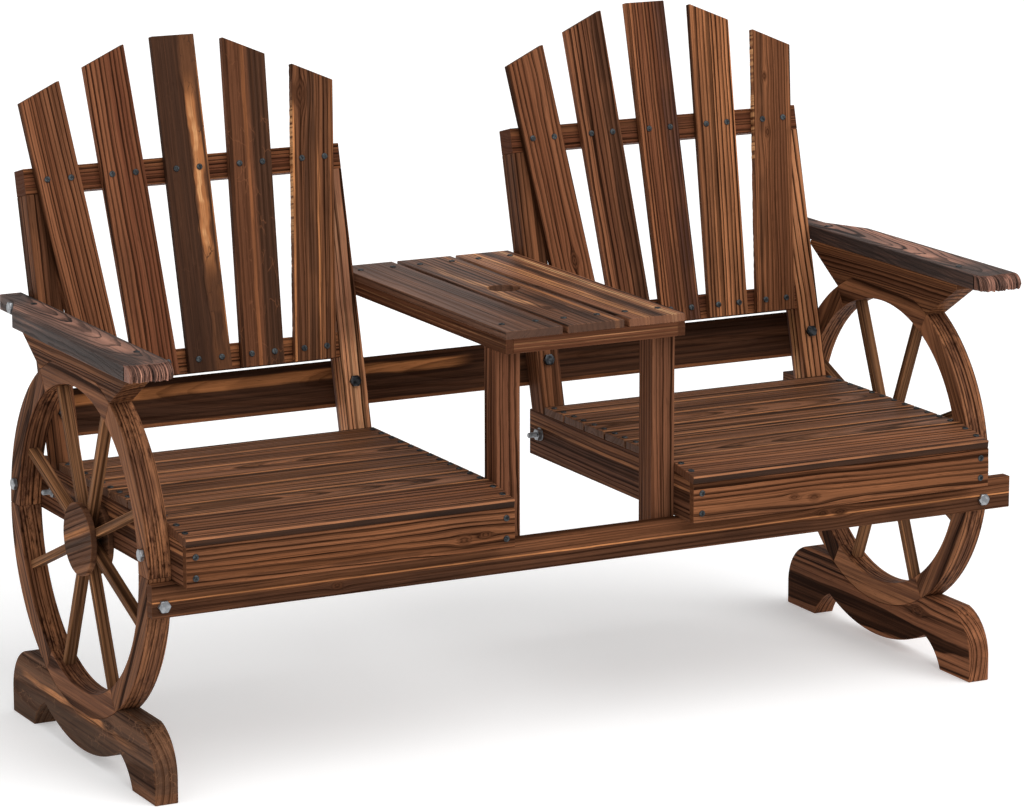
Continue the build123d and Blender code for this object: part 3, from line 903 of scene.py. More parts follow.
class Finishes(Enum):
    """Every wood finish on the seat."""

    EVEN = WoodFinish("even_stripe", ring=7.0, pale=(148, 96, 66))
    CLOSE = WoodFinish("close_stripe", ring=7.6, warm=(108, 63, 43), wander=12)
    PLAIN_DARK = WoodFinish(
        "plain_dark", (55, 37, 28), (64, 43, 32), contrast=0.1, fine=0.03, ring=13, streak=0.15,
        relief=0.25, scratch=0.8, patch=0.1, roughness=0.6,
        bands=(
            Band(21, 14, (98, 63, 42), 0.85, 5, feather=0.4, broken=0.1, rate=16),
            Band(17, 8.5, (176, 114, 70), 0.95, 5, -120, 200, 0.5, 0.15, rate=16),
            Band(16, 4, GOLD, 0.75, 6, -100, 170, 0.8, 0.8, rate=22),
            Band(29, 1.2, UMBER, 0.9, 2, -140, 215, 0.6, 0.2),
            Band(32.5, 1.0, ORANGE, 0.8, 0.6, -225, 240, 0.5, 0.7),
            Band(20, 6, UMBER, 0.8, 6, -250, -95, 0.9, 0.5, rate=18),
            Band(6, 1.2, SOOT, 0.85, 5, -240, 215, 0.4, 0.3, rate=16),
        ),
    )
    HALF_DARK = WoodFinish(
        "half_dark", (94, 58, 39), (130, 82, 55), contrast=0.4, ring=12, pale_share=0.3, streak=0.45,
        scratch=0.35,
        bands=(
            Band(-31, 3, SOOT, 0.7, 2),
            Band(-4, 3, AMBER, 0.6, 3),
            Band(22, 18, UMBER, 0.97, 2, feather=0.3, broken=0),
        ),
    )
    STREAKED = WoodFinish(
        "streaked", (98, 62, 42), (156, 102, 66), ring=6, contrast=0.8, streak=0.75,
        bands=(
            Band(-4, 8, UMBER, 0.8, 4),
            Band(8, 2.0, ORANGE, 0.85, 4, -210, 120),
            Band(21, 5, (70, 45, 32), 0.7, 4),
            Band(30, 1.5, AMBER, 0.7, 2),
            # Painted highlight along the slat's edge: an orange line and pale bars across the grain.
            Band(-31.5, 1.4, ORANGE, 0.85, 0.6, end=190, broken=0.5, over_lines=True),
            Band(-34, 1.1, GOLD, 0.9, 0.0, -60, 190, 0.0, 1.0, over_lines=True, rate=190),
        ),
        knots=(Knot(178, -22, 14),),
    )
    SWIRL = WoodFinish("swirl_stripe", ring=8.5, wander=16, knots=(Knot(-110, 6, 9),))
    WAVED = WoodFinish(
        "waved_stripe", (98, 60, 41), ring=8.0, wander=14, bands=(Band(20, 13, (66, 43, 31), 0.8, 5),),
    )
    RUSSET = WoodFinish(
        "russet_stripe", (106, 63, 42), (192, 124, 82), ring=6.2, streak=0.85, line_width=0.72,
        bands=(Band(24, 12, (70, 48, 43), 0.85, 3, feather=0.5),),
    )
    GOLDEN = WoodFinish("golden_stripe", (128, 80, 51), (206, 136, 90), ring=7.2, streak=0.7, line_width=0.7)
    BROWN = WoodFinish(
        "brown_line", (116, 72, 47), (152, 98, 65), ring=5, contrast=0.7, fine=0.3, streak=0.7,
        bands=(
            Band(-22, 5, (78, 50, 34), 0.7, 5, broken=0.8),
            Band(13, 10, (90, 55, 36), 0.5, 6),
            # Painted highlight along the slat's edge, broken into pale bars across the grain.
            Band(-34, 1.1, GOLD, 0.95, 0.0, -20, 240, 0.0, 1.0, over_lines=True, rate=170),
        ),
        knots=(Knot(150, -14, 6), Knot(62, -10, 6)),
    )
    # Seat boards: lighter eased edges as wear and painted highlight, with painted light and shade bands at
    # the slat edges.
    SEAT = WoodFinish(
        "seat_board", (98, 65, 48), (160, 109, 79), rim=(186, 128, 88), ring=9, contrast=0.95, fine=0.4,
        wander=5, gloss=0.1, patch=0.35, streak=0.9,
        bands=(
            Band(12, 3, AMBER, 0.6, 6),
            # Painted highlight along each slat's front edge.
            Band(-27.5, 2.0, ORANGE, 0.8, 0.5, broken=0.5, over_lines=True),
            # Painted shadow of the gap, along each slat's rear edge.
            Band(28.5, 4.5, (24, 15, 10), 0.97, 0.8, broken=0.0, over_lines=True),
        ),
    )
    SEAT_FRONT = WoodFinish(
        "front_seat_board", (112, 71, 49), (172, 114, 78), ring=9, contrast=0.9, fine=0.4, wander=6,
        gloss=0.1, patch=0.4, streak=0.8,
        bands=(
            Band(10, 3, AMBER, 0.6, 2),
            # Painted shade along the front lip.
            Band(-32, 4, UMBER, 0.7, 2, broken=0.7),
            # Painted highlight along the front edge, above the painted shadow.
            Band(-37.5, 1.6, (172, 114, 76), 0.65, 0.2, feather=0.1, broken=0.6, over_lines=True),
            # Painted shadow under the lip, on the lower part of the front face.
            Band(-38, 2.0, (20, 12, 8), 0.97, 0.2, feather=0.1, broken=0.0, over_lines=True, under=3.8),
        ),
    )
    APRON_LEFT = WoodFinish(
        "left_apron_board", (110, 68, 44), (150, 97, 64), ring=9, fine=0.3, wander=12, streak=0.75,
        line_width=0.7,
        bands=(Band(-10, 12, (136, 86, 55), 0.6, 4), Band(-21, 3, SOOT, 0.6, 3, broken=0.8)),
        knots=(Knot(172, -10, 8), Knot(206, -6, 6)),
    )
    APRON_RIGHT = replace(APRON_LEFT, name="right_apron_board", knots=(Knot(-50, -13, 8), Knot(-84, -9, 6)))
    FRONT_RAIL = WoodFinish(
        "front_rail_board", (106, 66, 43), (138, 90, 60), ring=8, contrast=0.6, fine=0.4,
        bands=(
            # Painted shade over the rail's lower half.
            Band(-13, 11, (62, 40, 29), 0.85, 2, broken=0.2),
            Band(-1, 1.1, ORANGE, 0.9, 0.8, broken=0.3, over_lines=True),
        ),
        knots=(Knot(372, 4, 6), Knot(402, 2, 8), Knot(-420, -9, 7)),
    )
    BACK_RAIL = WoodFinish(
        "back_rail_board", (42, 26, 18), (68, 43, 29), ring=12, contrast=0.5, patch=0.2,
        bands=(
            Band(16, 8, (196, 128, 78), 0.95, 4, end=60, feather=0.5, broken=0.15),
            Band(4, 5, (88, 56, 37), 0.6, 5, start=40),
            Band(-33, 3, (140, 88, 55), 0.8, 1),
        ),
    )
    CROSS_RAIL = WoodFinish("cross_rail_board", (98, 56, 37), (156, 100, 62), ring=6, streak=0.7)
    POST = WoodFinish(
        "post_board", (150, 97, 66), (226, 156, 108), ring=6.5, line_width=0.5, patch=0.15,
        bands=(Band(2, 7, GOLD, 0.6, 4), Band(16, 3.5, (86, 68, 64), 0.85, 0.6, broken=0.1, over_lines=True)),
    )
    # Painted light: a brightened copy of the post finish, lifted to offset the shade on the left inner post's
    # front face.
    POST_BRIGHT = WoodFinish(
        "post_board_painted_lit", (214, 146, 104), (255, 212, 162), ring=6.5, line_width=0.5, patch=0.1,
        bands=(
            Band(0, 30, (116, 76, 58), 0.85, 2, start=-90, feather=0.2, broken=0.2),
            Band(15, 4.5, (104, 84, 80), 0.9, 0.6, broken=0.1, over_lines=True),
        ),
    )
    POST_DARK = WoodFinish(
        "dark_post_board", (88, 55, 37), (138, 88, 58), ring=9, patch=0.8, streak=0.7,
        knots=(Knot(40, 4, 8), Knot(-90, -3, 7)),
    )
    SIDE = WoodFinish(
        "side_board", (88, 56, 41), (124, 82, 58), ring=7.5, streak=0.8,
        bands=(
            Band(24, 5, (142, 94, 64), 0.8, 1.5),
            Band(12, 2.5, (170, 114, 76), 0.8, 1.5),
            Band(0, 8, SOOT, 0.7, 3),
        ),
    )
    LEG = WoodFinish("leg_board", (106, 66, 46), (140, 94, 67), ring=5.4, contrast=0.9)
    TABLE_LEFT = WoodFinish(
        "left_table_board", (92, 64, 50), (148, 104, 80), ring=7, contrast=0.5, fine=0.3, streak=0.8,
        gloss=0.16, roughness=0.44,
        bands=(Band(30, 12, (68, 52, 44), 0.85, 4, broken=0.1), Band(-2, 5, (134, 90, 65), 0.5, 3)),
    )
    TABLE_MIDDLE = WoodFinish(
        "middle_table_board", (92, 62, 46), (146, 98, 70), ring=8.5, contrast=0.8, streak=0.8,
        gloss=0.16, roughness=0.44,
        bands=(
            Band(-22, 7, (220, 158, 110), 0.95, 9, -150, 230, 0.5, 0.15, rate=11),
            Band(33, 4, ORANGE, 0.9, 3, feather=0.6, broken=0.2),
            Band(10, 12, (54, 40, 33), 0.9, 8, -290, -30, 0.5, 0.1, rate=11),
            Band(-39, 2.5, SOOT, 0.8, 1.5, feather=0.5, broken=0.5),
        ),
        knots=(Knot(-150, -12, 10),),
    )
    TABLE_RIGHT = WoodFinish(
        "right_table_board", (146, 95, 67), (236, 166, 118), ring=6.2, contrast=0.9, streak=0.8,
        gloss=0.16, roughness=0.44,
        bands=(
            Band(3, 9, (56, 41, 35), 0.92, 4, feather=0.5, broken=0.1),
            Band(-18, 7, (214, 148, 98), 0.95, 4, broken=0.2),
            Band(28, 5, (240, 184, 132), 0.85, 3),
        ),
    )
    SKIRT = WoodFinish(
        "skirt_board", (86, 51, 34), (122, 78, 53), ring=6.5, contrast=0.5,
        bands=(Band(3, 1.0, (176, 124, 86), 0.7, 0.6), Band(-3.5, 0.8, (164, 114, 80), 0.6, 0.6)),
    )
    FELLOE = WoodFinish(
        "felloe_board", (102, 66, 47), (184, 124, 84), ring=6.2, streak=0.8, patch=0.4, wander=3,
        plain_ends=0.0, line_width=0.55,
    )
    # Spokes: pale rim colour on strongly lightened eased edges, wear and a painted highlight together.
    SPOKE = WoodFinish(
        "spoke_board", (68, 45, 33), (118, 80, 55), rim=(206, 146, 100), ring=4.2, streak=0.9, patch=0.7,
        edge_wear_and_highlight=0.95,
    )
    HUB = WoodFinish(
        "hub_board", (98, 66, 48), (156, 108, 76), ring=9, streak=0.8, contrast=0.6, wander=12, patch=0.7,
        bands=(
            Band(-6, 10, (72, 55, 45), 0.95, 3, feather=0.4, broken=0.1),
            Band(8, 4, ORANGE, 0.9, 3, broken=0.5),
        ),
    )
    FOOT_LEFT = WoodFinish(
        "left_foot_board", (88, 63, 48), (128, 90, 65), char=(66, 50, 39), ring=7, contrast=0.6, patch=0.95,
        scratch=0.5, wander=3, plain_ends=0.0,
        bands=(
            Band(14, 5, (196, 132, 86), 0.9, 8, -215, 240, broken=0.7),
            Band(-14, 15, (68, 51, 40), 0.85, 5, feather=0.4, broken=0.3),
            Band(-45, 8, (118, 76, 50), 0.7, 2),
        ),
        knots=(Knot(-100, 22, 13),),
    )
    FOOT_RIGHT = WoodFinish(
        "right_foot_board", (114, 72, 49), (172, 112, 77), ring=6.2, patch=0.4, streak=0.8, wander=3,
        plain_ends=0.0, knots=(Knot(-120, 26, 12),),
    )
    BLOCK = WoodFinish("block_board", (100, 64, 44), (168, 112, 72), ring=5.8, streak=0.7)
    ARM = WoodFinish(
        "arm_board", (162, 114, 96), (212, 156, 131), (34, 30, 30), (66, 59, 57), (130, 100, 87), ring=4.6,
        line_width=0.6, fine=0.05, patch=0.75, roughness=0.55, relief=0.9, wander=22, gloss=0.1, streak=0.35,
        bands=(
            Band(-28, 8, ASH, 0.85, 4),
            Band(32, 5, ASH, 0.8, 4),
            Band(0, 45, ASH, 0.9, 3, start=170),
            Band(-18, 14, ASH, 0.85, 5, end=-110),
            Band(6, 30, ASH, 0.8, 8, end=-150, feather=0.7, broken=0.5, rate=14, over_lines=True),
            Band(-36, 4, COAL, 0.85, 0.5, broken=0.1, over_lines=True),
            Band(36, 4, COAL, 0.85, 0.5, broken=0.1, over_lines=True),
        ),
    )


class Fittings(Enum):
    """Every steel finish on the seat."""

    SCREW = SteelFinish("screw_steel_dark", (76, 80, 82), (44, 46, 48), 0.45)
    BOLT = SteelFinish("bolt_steel_plated", (158, 160, 163), (122, 124, 127), 0.34)
    POST_BOLT = SteelFinish("bolt_steel_black", (66, 68, 71), (32, 33, 35), 0.3)


@dataclass
class Workshop:
    """Turns planks and fasteners into pieces that ride on the frame."""

    body: str = "root"
    ready: dict[str, bpy.types.Material] = field(default_factory=dict)
    made: list[str] = field(default_factory=list)

    def finish(self, choice: Enum) -> bpy.types.Material:
        """The material of a wood or steel finish, which is made once."""
        name = choice.name
        return self.ready.get(name) or self.ready.setdefault(name, choice.value.material())

    def boards(self, node: str, planks: Iterable[Plank], choice: Finishes, slot: str) -> None:
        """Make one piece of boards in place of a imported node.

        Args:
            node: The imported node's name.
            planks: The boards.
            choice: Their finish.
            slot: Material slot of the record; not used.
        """
        verts: list[Vector] = []
        faces: list[list[int]] = []
        values: dict[str, list[float]] = {"grain": [], "heart": [], "mood": [], "edge": []}
        long_ways: list[Vector] = []
        for number, plank in enumerate(planks):
            skin, sides, marks = plank.shell()
            ways = plank.grain_axes()
            faces += [[index + len(verts) for index in face] for face in sides]
            long_ways += [ways[0]] * len(sides)
            verts += skin
            rng = random.Random(f"{node}{number}")
            side, under, drift, rake = plank.pith(rng)
            mood = (plank.tone * rng.uniform(*TONE_SPREAD), plank.scorch, rng.uniform(0, SEED_SPAN))
            spans = [[point.dot(way) for point in skin] for way in ways]
            middles = [(min(span) + max(span)) / 2 for span in spans]
            for *spot, mark in zip(*spans, marks):
                along, across, through = (value - middle for value, middle in zip(spot, middles))
                heart = (along, across - side - drift * along, through - under - rake * along)
                values["grain"] += [along * MM, across * MM, through * MM]
                values["heart"] += [value * MM for value in heart]
                values["mood"] += mood
                values["edge"].append(mark)
        mesh = bpy.data.meshes.new(f"{node}_boards")
        mesh.from_pydata([vert * MM for vert in verts], [], faces)
        for name, numbers in values.items():
            kind, key = ("FLOAT", "value") if name == "edge" else ("FLOAT_VECTOR", "vector")
            mesh.attributes.new(name, kind, "POINT").data.foreach_set(key, numbers)
        sawn = [max(0.0, 2 * abs(face.normal.dot(way)) - 1) for face, way in zip(mesh.polygons, long_ways)]
        mesh.attributes.new("sawn", "FLOAT", "FACE").data.foreach_set("value", sawn)
        self.place(node, mesh, self.finish(choice), slot)

    def place(self, node: str, mesh: bpy.types.Mesh, material: bpy.types.Material, slot: str) -> None:
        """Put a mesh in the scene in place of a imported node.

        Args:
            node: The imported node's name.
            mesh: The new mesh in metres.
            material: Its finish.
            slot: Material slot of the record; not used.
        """
        mesh.polygons.foreach_set("use_smooth", [True] * len(mesh.polygons))
        mesh.set_sharp_from_angle(angle=math.radians(SHARP_ANGLE))
        mesh.materials.append(material)
        piece = bpy.data.objects.new(f"{node}_piece", mesh)
        bpy.context.scene.collection.objects.link(piece)
        even = piece.modifiers.new("even_faces", "WEIGHTED_NORMAL")
        even.keep_sharp = True
        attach(piece, self.body)
        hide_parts(node)
        self.check(node, mesh)
        self.made.append(piece.name)
        LOG.info("%s: %d faces, finish %s", piece.name, len(mesh.polygons), material.name)

    @staticmethod
    def check(node: str, mesh: bpy.types.Mesh) -> None:
        """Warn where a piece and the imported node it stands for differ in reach.

        Args:
            node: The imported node's name.
            mesh: The piece's mesh in metres.
        """
        low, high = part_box(node)
        for axis in range(3):
            spots = [vertex.co[axis] for vertex in mesh.vertices]
            gap = max(abs(min(spots) - low[axis]), abs(max(spots) - high[axis]))
            if gap > REACH_SLACK:
                LOG.warning("%s differs by %.1f mm along %s", node, gap / MM, "XYZ"[axis])


@dataclass(frozen=True)
class Stock:
    """Sizes that the sub-assemblies share, in millimetres, and the planes they are drawn in."""

    thin: float = 12.0
    stick: float = 38.0
    side_rail: float = 22.0
    chair_in: float = 145.0
    chair_out: float = 651.0
    wheel_out: float = 686.0
    hub: float = 322.0
    seat: float = 398.0
    rail_top: float = 386.0
    rail_bottom: float = 316.0
    front_rail_bottom: float = 268.0
    front_rail_rear: float = -251.0
    post_front: float = 158.0
    lean_level: float = 400.0
    lean: float = 14.6

    @property
    def chair_width(self) -> float:
        """How wide a chair is."""
        return self.chair_out - self.chair_in

    @property
    def wheel_width(self) -> float:
        """How wide a wheel is."""
        return self.wheel_out - self.chair_out

    def lean_place(self, side: Side, depth: float = 0.0) -> Matrix:
        """Drawing plane of the leaning backs: X along the seat, Y up the lean, depth to the front.

        Args:
            side: The half of the seat.
            depth: How far behind the posts' front the plane lies.

        Returns:
            The plane's place in the row frame.
        """
        slant = math.radians(self.lean)
        turn = Matrix(((1, 0, 0, 0), (0, math.sin(slant), -math.cos(slant), self.post_front),
                       (0, math.cos(slant), math.sin(slant), self.lean_level), (0, 0, 0, 1)))
        return side.mirror @ turn @ Matrix.Translation((0, 0, -depth))

    def side_place(self, side: Side, x: float) -> Matrix:
        """Drawing plane of pieces drawn from the side: Y and Z, with depth along X from x."""
        return side.mirror @ Matrix(((0, 0, 1, x), (1, 0, 0, 0), (0, 1, 0, 0), (0, 0, 0, 1)))

    def flat_place(self, side: Side, z: float) -> Matrix:
        """Drawing plane of pieces drawn from above: X and Y, with depth along Z from z."""
        return side.mirror @ Matrix.Translation((0, 0, z))

    def front_place(self, side: Side, y: float) -> Matrix:
        """Drawing plane of pieces drawn from the front: X and Z, with depth along -Y from y."""
        return side.mirror @ Matrix(((1, 0, 0, 0), (0, 0, -1, y), (0, 1, 0, 0), (0, 0, 0, 1)))

    def post_edge(self, z: float) -> float:
        """Y of a post's front edge at a height."""
        return self.post_front + (z - self.lean_level) * math.tan(math.radians(self.lean))


@dataclass
class SubAssembly:
    """Pieces that the workshop makes of boards, with the sizes of the shared stock."""

    shop: Workshop
    stock: Stock
    side: Side = Side.RIGHT

    def make(self, name: str, planks: list[Plank], look: Finishes, slot: str) -> None:
        """Make one piece of this side."""
        self.shop.boards(self.side.node(name), planks, look, slot)


@dataclass
class FanBack(SubAssembly):
    """The leaning fan of slats with its posts and rails."""

    slat_width: float = 68.0
    pitch: float = 84.5
    spread: float = 0.0571
    bottom: float = 105.5
    tops: Spot = (604.0, 596.0, 549.5)
    drop: float = 29.0
    rail_middle: float = 407.0
    ragged: tuple[str, ...] = ("left_back_slat_1", "right_back_slat_5")
    ragged_depth: float = 1.6
    ragged_pitch: float = 5.0
    flat_sawn: str = "left_back_slat_3"
    slat_looks: dict[Side, tuple[Finishes, ...]] = field(default_factory=lambda: {
        Side.RIGHT: (Finishes.SWIRL, Finishes.WAVED, Finishes.RUSSET, Finishes.GOLDEN, Finishes.BROWN),
        Side.LEFT: (Finishes.STREAKED, Finishes.HALF_DARK, Finishes.PLAIN_DARK, Finishes.CLOSE,
                    Finishes.EVEN),
    })
    post_looks: dict[Side, tuple[Finishes, ...]] = field(default_factory=lambda: {
        Side.RIGHT: (Finishes.POST_DARK, Finishes.POST),
        # The left inner post takes the painted-light copy of the post finish.
        Side.LEFT: (Finishes.POST_BRIGHT, Finishes.POST_DARK),
    })

    def middle(self, order: int, height: float) -> float:
        """X of a slat's middle line at a height up the lean."""
        centre = (self.stock.chair_in + self.stock.chair_out) / 2
        return centre + order * (self.pitch + self.spread * (height - self.bottom))

    def slat(self, order: int, name: str) -> Plank:
        """One fanned slat.

        Args:
            order: Its place in the fan, from -2 to 2.
            name: Its node's name, which fixes a ragged edge.

        Returns:
            The board.
        """
        top, half = self.tops[abs(order)], self.slat_width / 2
        inner_top = top - self.drop if order < 0 else top
        outer_top = top - self.drop if order > 0 else top
        inner_foot = (self.middle(order, self.bottom) - half, self.bottom)
        outer_foot = (self.middle(order, self.bottom) + half, self.bottom)
        outer_head = (self.middle(order, outer_top) + half, outer_top)
        inner_head = (self.middle(order, inner_top) - half, inner_top)
        outer_edge, inner_edge = [outer_foot], [inner_head]
        if name in self.ragged and self.side is Side.RIGHT:
            inner_edge = frayed(inner_head, inner_foot, self.ragged_depth, self.ragged_pitch, name)
        elif name in self.ragged:
            outer_edge = frayed(outer_foot, outer_head, self.ragged_depth, self.ragged_pitch, name)
        outline = [inner_foot] + outer_edge + [outer_head] + inner_edge
        along = Vector((order * self.spread, 1, 0))
        cut = Cut.FLAT if name == self.flat_sawn else Cut.QUARTER
        return Plank(outline, self.stock.thin, self.stock.lean_place(self.side), along, X_WAY, cut)

    def post(self, inner: bool) -> list[Plank]:
        """One post: the part above the side rail and the tongue that laps it.

        Args:
            inner: True for the post beside the table.

        Returns:
            The two boards.
        """
        stock = self.stock
        sine, cosine = math.sin(math.radians(stock.lean)), math.cos(math.radians(stock.lean))
        wide = stock.stick / cosine
        head = self.rail_middle - stock.stick / 2
        front_top = (stock.post_front + head * sine, stock.lean_level + head * cosine)
        rear_top = (front_top[0] + stock.stick * cosine, front_top[1] - stock.stick * sine)
        foot, lap = ([(stock.post_edge(z), z), (stock.post_edge(z) + wide, z)]
                     for z in (stock.rail_bottom, stock.rail_top))
        x = stock.chair_in if inner else stock.chair_out - stock.stick
        upper_place = stock.side_place(self.side, x)
        tongue_place = stock.side_place(self.side, x + stock.side_rail if inner else x)
        along = Vector((sine, cosine, 0))
        upper = Plank(lap + [rear_top, front_top], stock.stick, upper_place, along, X_WAY, Cut.RIFT)
        tongue = Plank(foot + lap[::-1], stock.stick - stock.side_rail, tongue_place, along, X_WAY, Cut.RIFT)
        return [upper, tongue]

    def rail(self, shorter: float, low: float) -> Plank:
        """A square rail along the lean, behind the slats.

        Args:
            shorter: How far its ends stay inside the chair's width.
            low: Height of its lower edge up the lean.

        Returns:
            The board.
        """
        stock = self.stock
        outline = rectangle(stock.chair_in + shorter, stock.chair_out - shorter, low, low + stock.stick)
        return Plank(outline, stock.stick, stock.lean_place(self.side, stock.stick), X_WAY, Y_WAY)

    def build(self) -> None:
        """Make every piece of the back."""
        looks = self.slat_looks[self.side]
        for number, look in enumerate(looks, 1):
            name, order = f"back_slat_{number}", number - (len(looks) + 1) // 2
            self.make(name, [self.slat(order, self.side.node(name))], look, "slat_wood")
        inner_look, outer_look = self.post_looks[self.side]
        self.make("inner_post", self.post(True), inner_look, "frame_wood")
        self.make("outer_post", self.post(False), outer_look, "frame_wood")
        top = self.rail(0.0, self.rail_middle - self.stock.stick / 2)
        low = self.rail(self.stock.stick, self.bottom)
        self.make("top_rail", [top], Finishes.CROSS_RAIL, "frame_wood")
        self.make("lower_rail", [low], Finishes.CROSS_RAIL, "frame_wood")


@dataclass
class Seat(SubAssembly):
    """The seat deck with its side rails and apron."""

    slat_width: float = 61.0
    gap: float = 3.3
    cuts: tuple[Cut, ...] = (Cut.RIFT, Cut.QUARTER, Cut.FLAT) * 2
    tones: tuple[float, ...] = (1.0, 0.96, 1.05, 0.9, 1.0, 0.98)
    rear: float = 152.0
    front_width: float = 76.0
    tilt: float = 9.5
    rail_shoulder: float = 1.0
    inner_rear: float = 200.99
    outer_rear: float = 255.0

    @property
    def roll(self) -> float:
        """Y where the front slat starts to tilt."""
        return self.rear - len(self.tones) * (self.slat_width + self.gap)

    @property
    def apron_front(self) -> float:
        """Y of the apron's face."""
        return self.roll - self.front_width * math.cos(math.radians(self.tilt))

    def under(self, y: float) -> float:
        """Height of the tilted slat's underside.

        Args:
            y: The depth it is asked for.

        Returns:
            The height, or the side rails' top where that is lower.
        """
        stock, slope = self.stock, math.radians(self.tilt)
        start_y = self.roll + stock.thin * math.sin(slope)
        start_z = stock.seat - stock.thin * math.cos(slope)
        return min(stock.rail_top, start_z - (start_y - y) * math.tan(slope))

    def rail(self, x: float, rear: float) -> Plank:
        """One side rail, planed down in front.

        Args:
            x: Where its nearer face lies.
            rear: Y of its rear end.

        Returns:
            The board.
        """
        stock, nose = self.stock, self.apron_front + self.stock.thin
        outline = [(nose, stock.rail_bottom), (rear, stock.rail_bottom), (rear, stock.rail_top),
                   (self.roll + self.rail_shoulder, stock.rail_top), (nose, self.under(nose))]
        return Plank(outline, stock.side_rail, stock.side_place(self.side, x), X_WAY, Y_WAY)

    def apron(self) -> Plank:
        """The front board, with a sloping top.

        Returns:
            The board.
        """
        stock, front = self.stock, self.apron_front
        back = front + stock.thin
        outline = [(front, stock.rail_bottom), (back, stock.rail_bottom), (back, self.under(back)),
                   (front, self.under(front))]
        place = stock.side_place(self.side, stock.chair_in)
        return Plank(outline, stock.chair_width, place, Z_WAY, Y_WAY)

    def deck(self) -> list[Plank]:
        """The level slats.

        Returns:
            The boards, from the rear.
        """
        stock, made = self.stock, []
        for number, (cut, tone) in enumerate(zip(self.cuts, self.tones)):
            rear = self.rear - number * (self.slat_width + self.gap)
            outline = rectangle(stock.chair_in, stock.chair_out, rear - self.slat_width, rear)
            place = stock.flat_place(self.side, stock.rail_top)
            made.append(Plank(outline, stock.thin, place, X_WAY, Y_WAY, cut, tone=tone))
        return made

    def front_slat(self) -> Plank:
        """The tilted slat at the front.

        Returns:
            The board.
        """
        stock, slope = self.stock, math.radians(self.tilt)
        turn = Matrix(((1, 0, 0, 0), (0, math.cos(slope), -math.sin(slope), self.roll),
                       (0, math.sin(slope), math.cos(slope), stock.seat), (0, 0, 0, 1)))
        place = self.side.mirror @ turn @ Matrix.Translation((0, 0, -stock.thin))
        outline = rectangle(stock.chair_in, stock.chair_out, -self.front_width, 0)
        return Plank(outline, stock.thin, place, X_WAY, Y_WAY)

    def build(self) -> None:
        """Make every piece of the seat."""
        inner = self.rail(self.stock.chair_in, self.inner_rear)
        outer = self.rail(self.stock.chair_out - self.stock.side_rail, self.outer_rear)
        apron_look = Finishes.APRON_LEFT if self.side is Side.LEFT else Finishes.APRON_RIGHT
        self.make("inner_side_rail", [inner], Finishes.SIDE, "frame_wood")
        self.make("outer_side_rail", [outer], Finishes.SIDE, "frame_wood")
        self.make("apron", [self.apron()], apron_look, "slat_wood")
        self.make("seat_slats", self.deck(), Finishes.SEAT, "slat_wood")
        self.make("front_slat", [self.front_slat()], Finishes.SEAT_FRONT, "slat_wood")


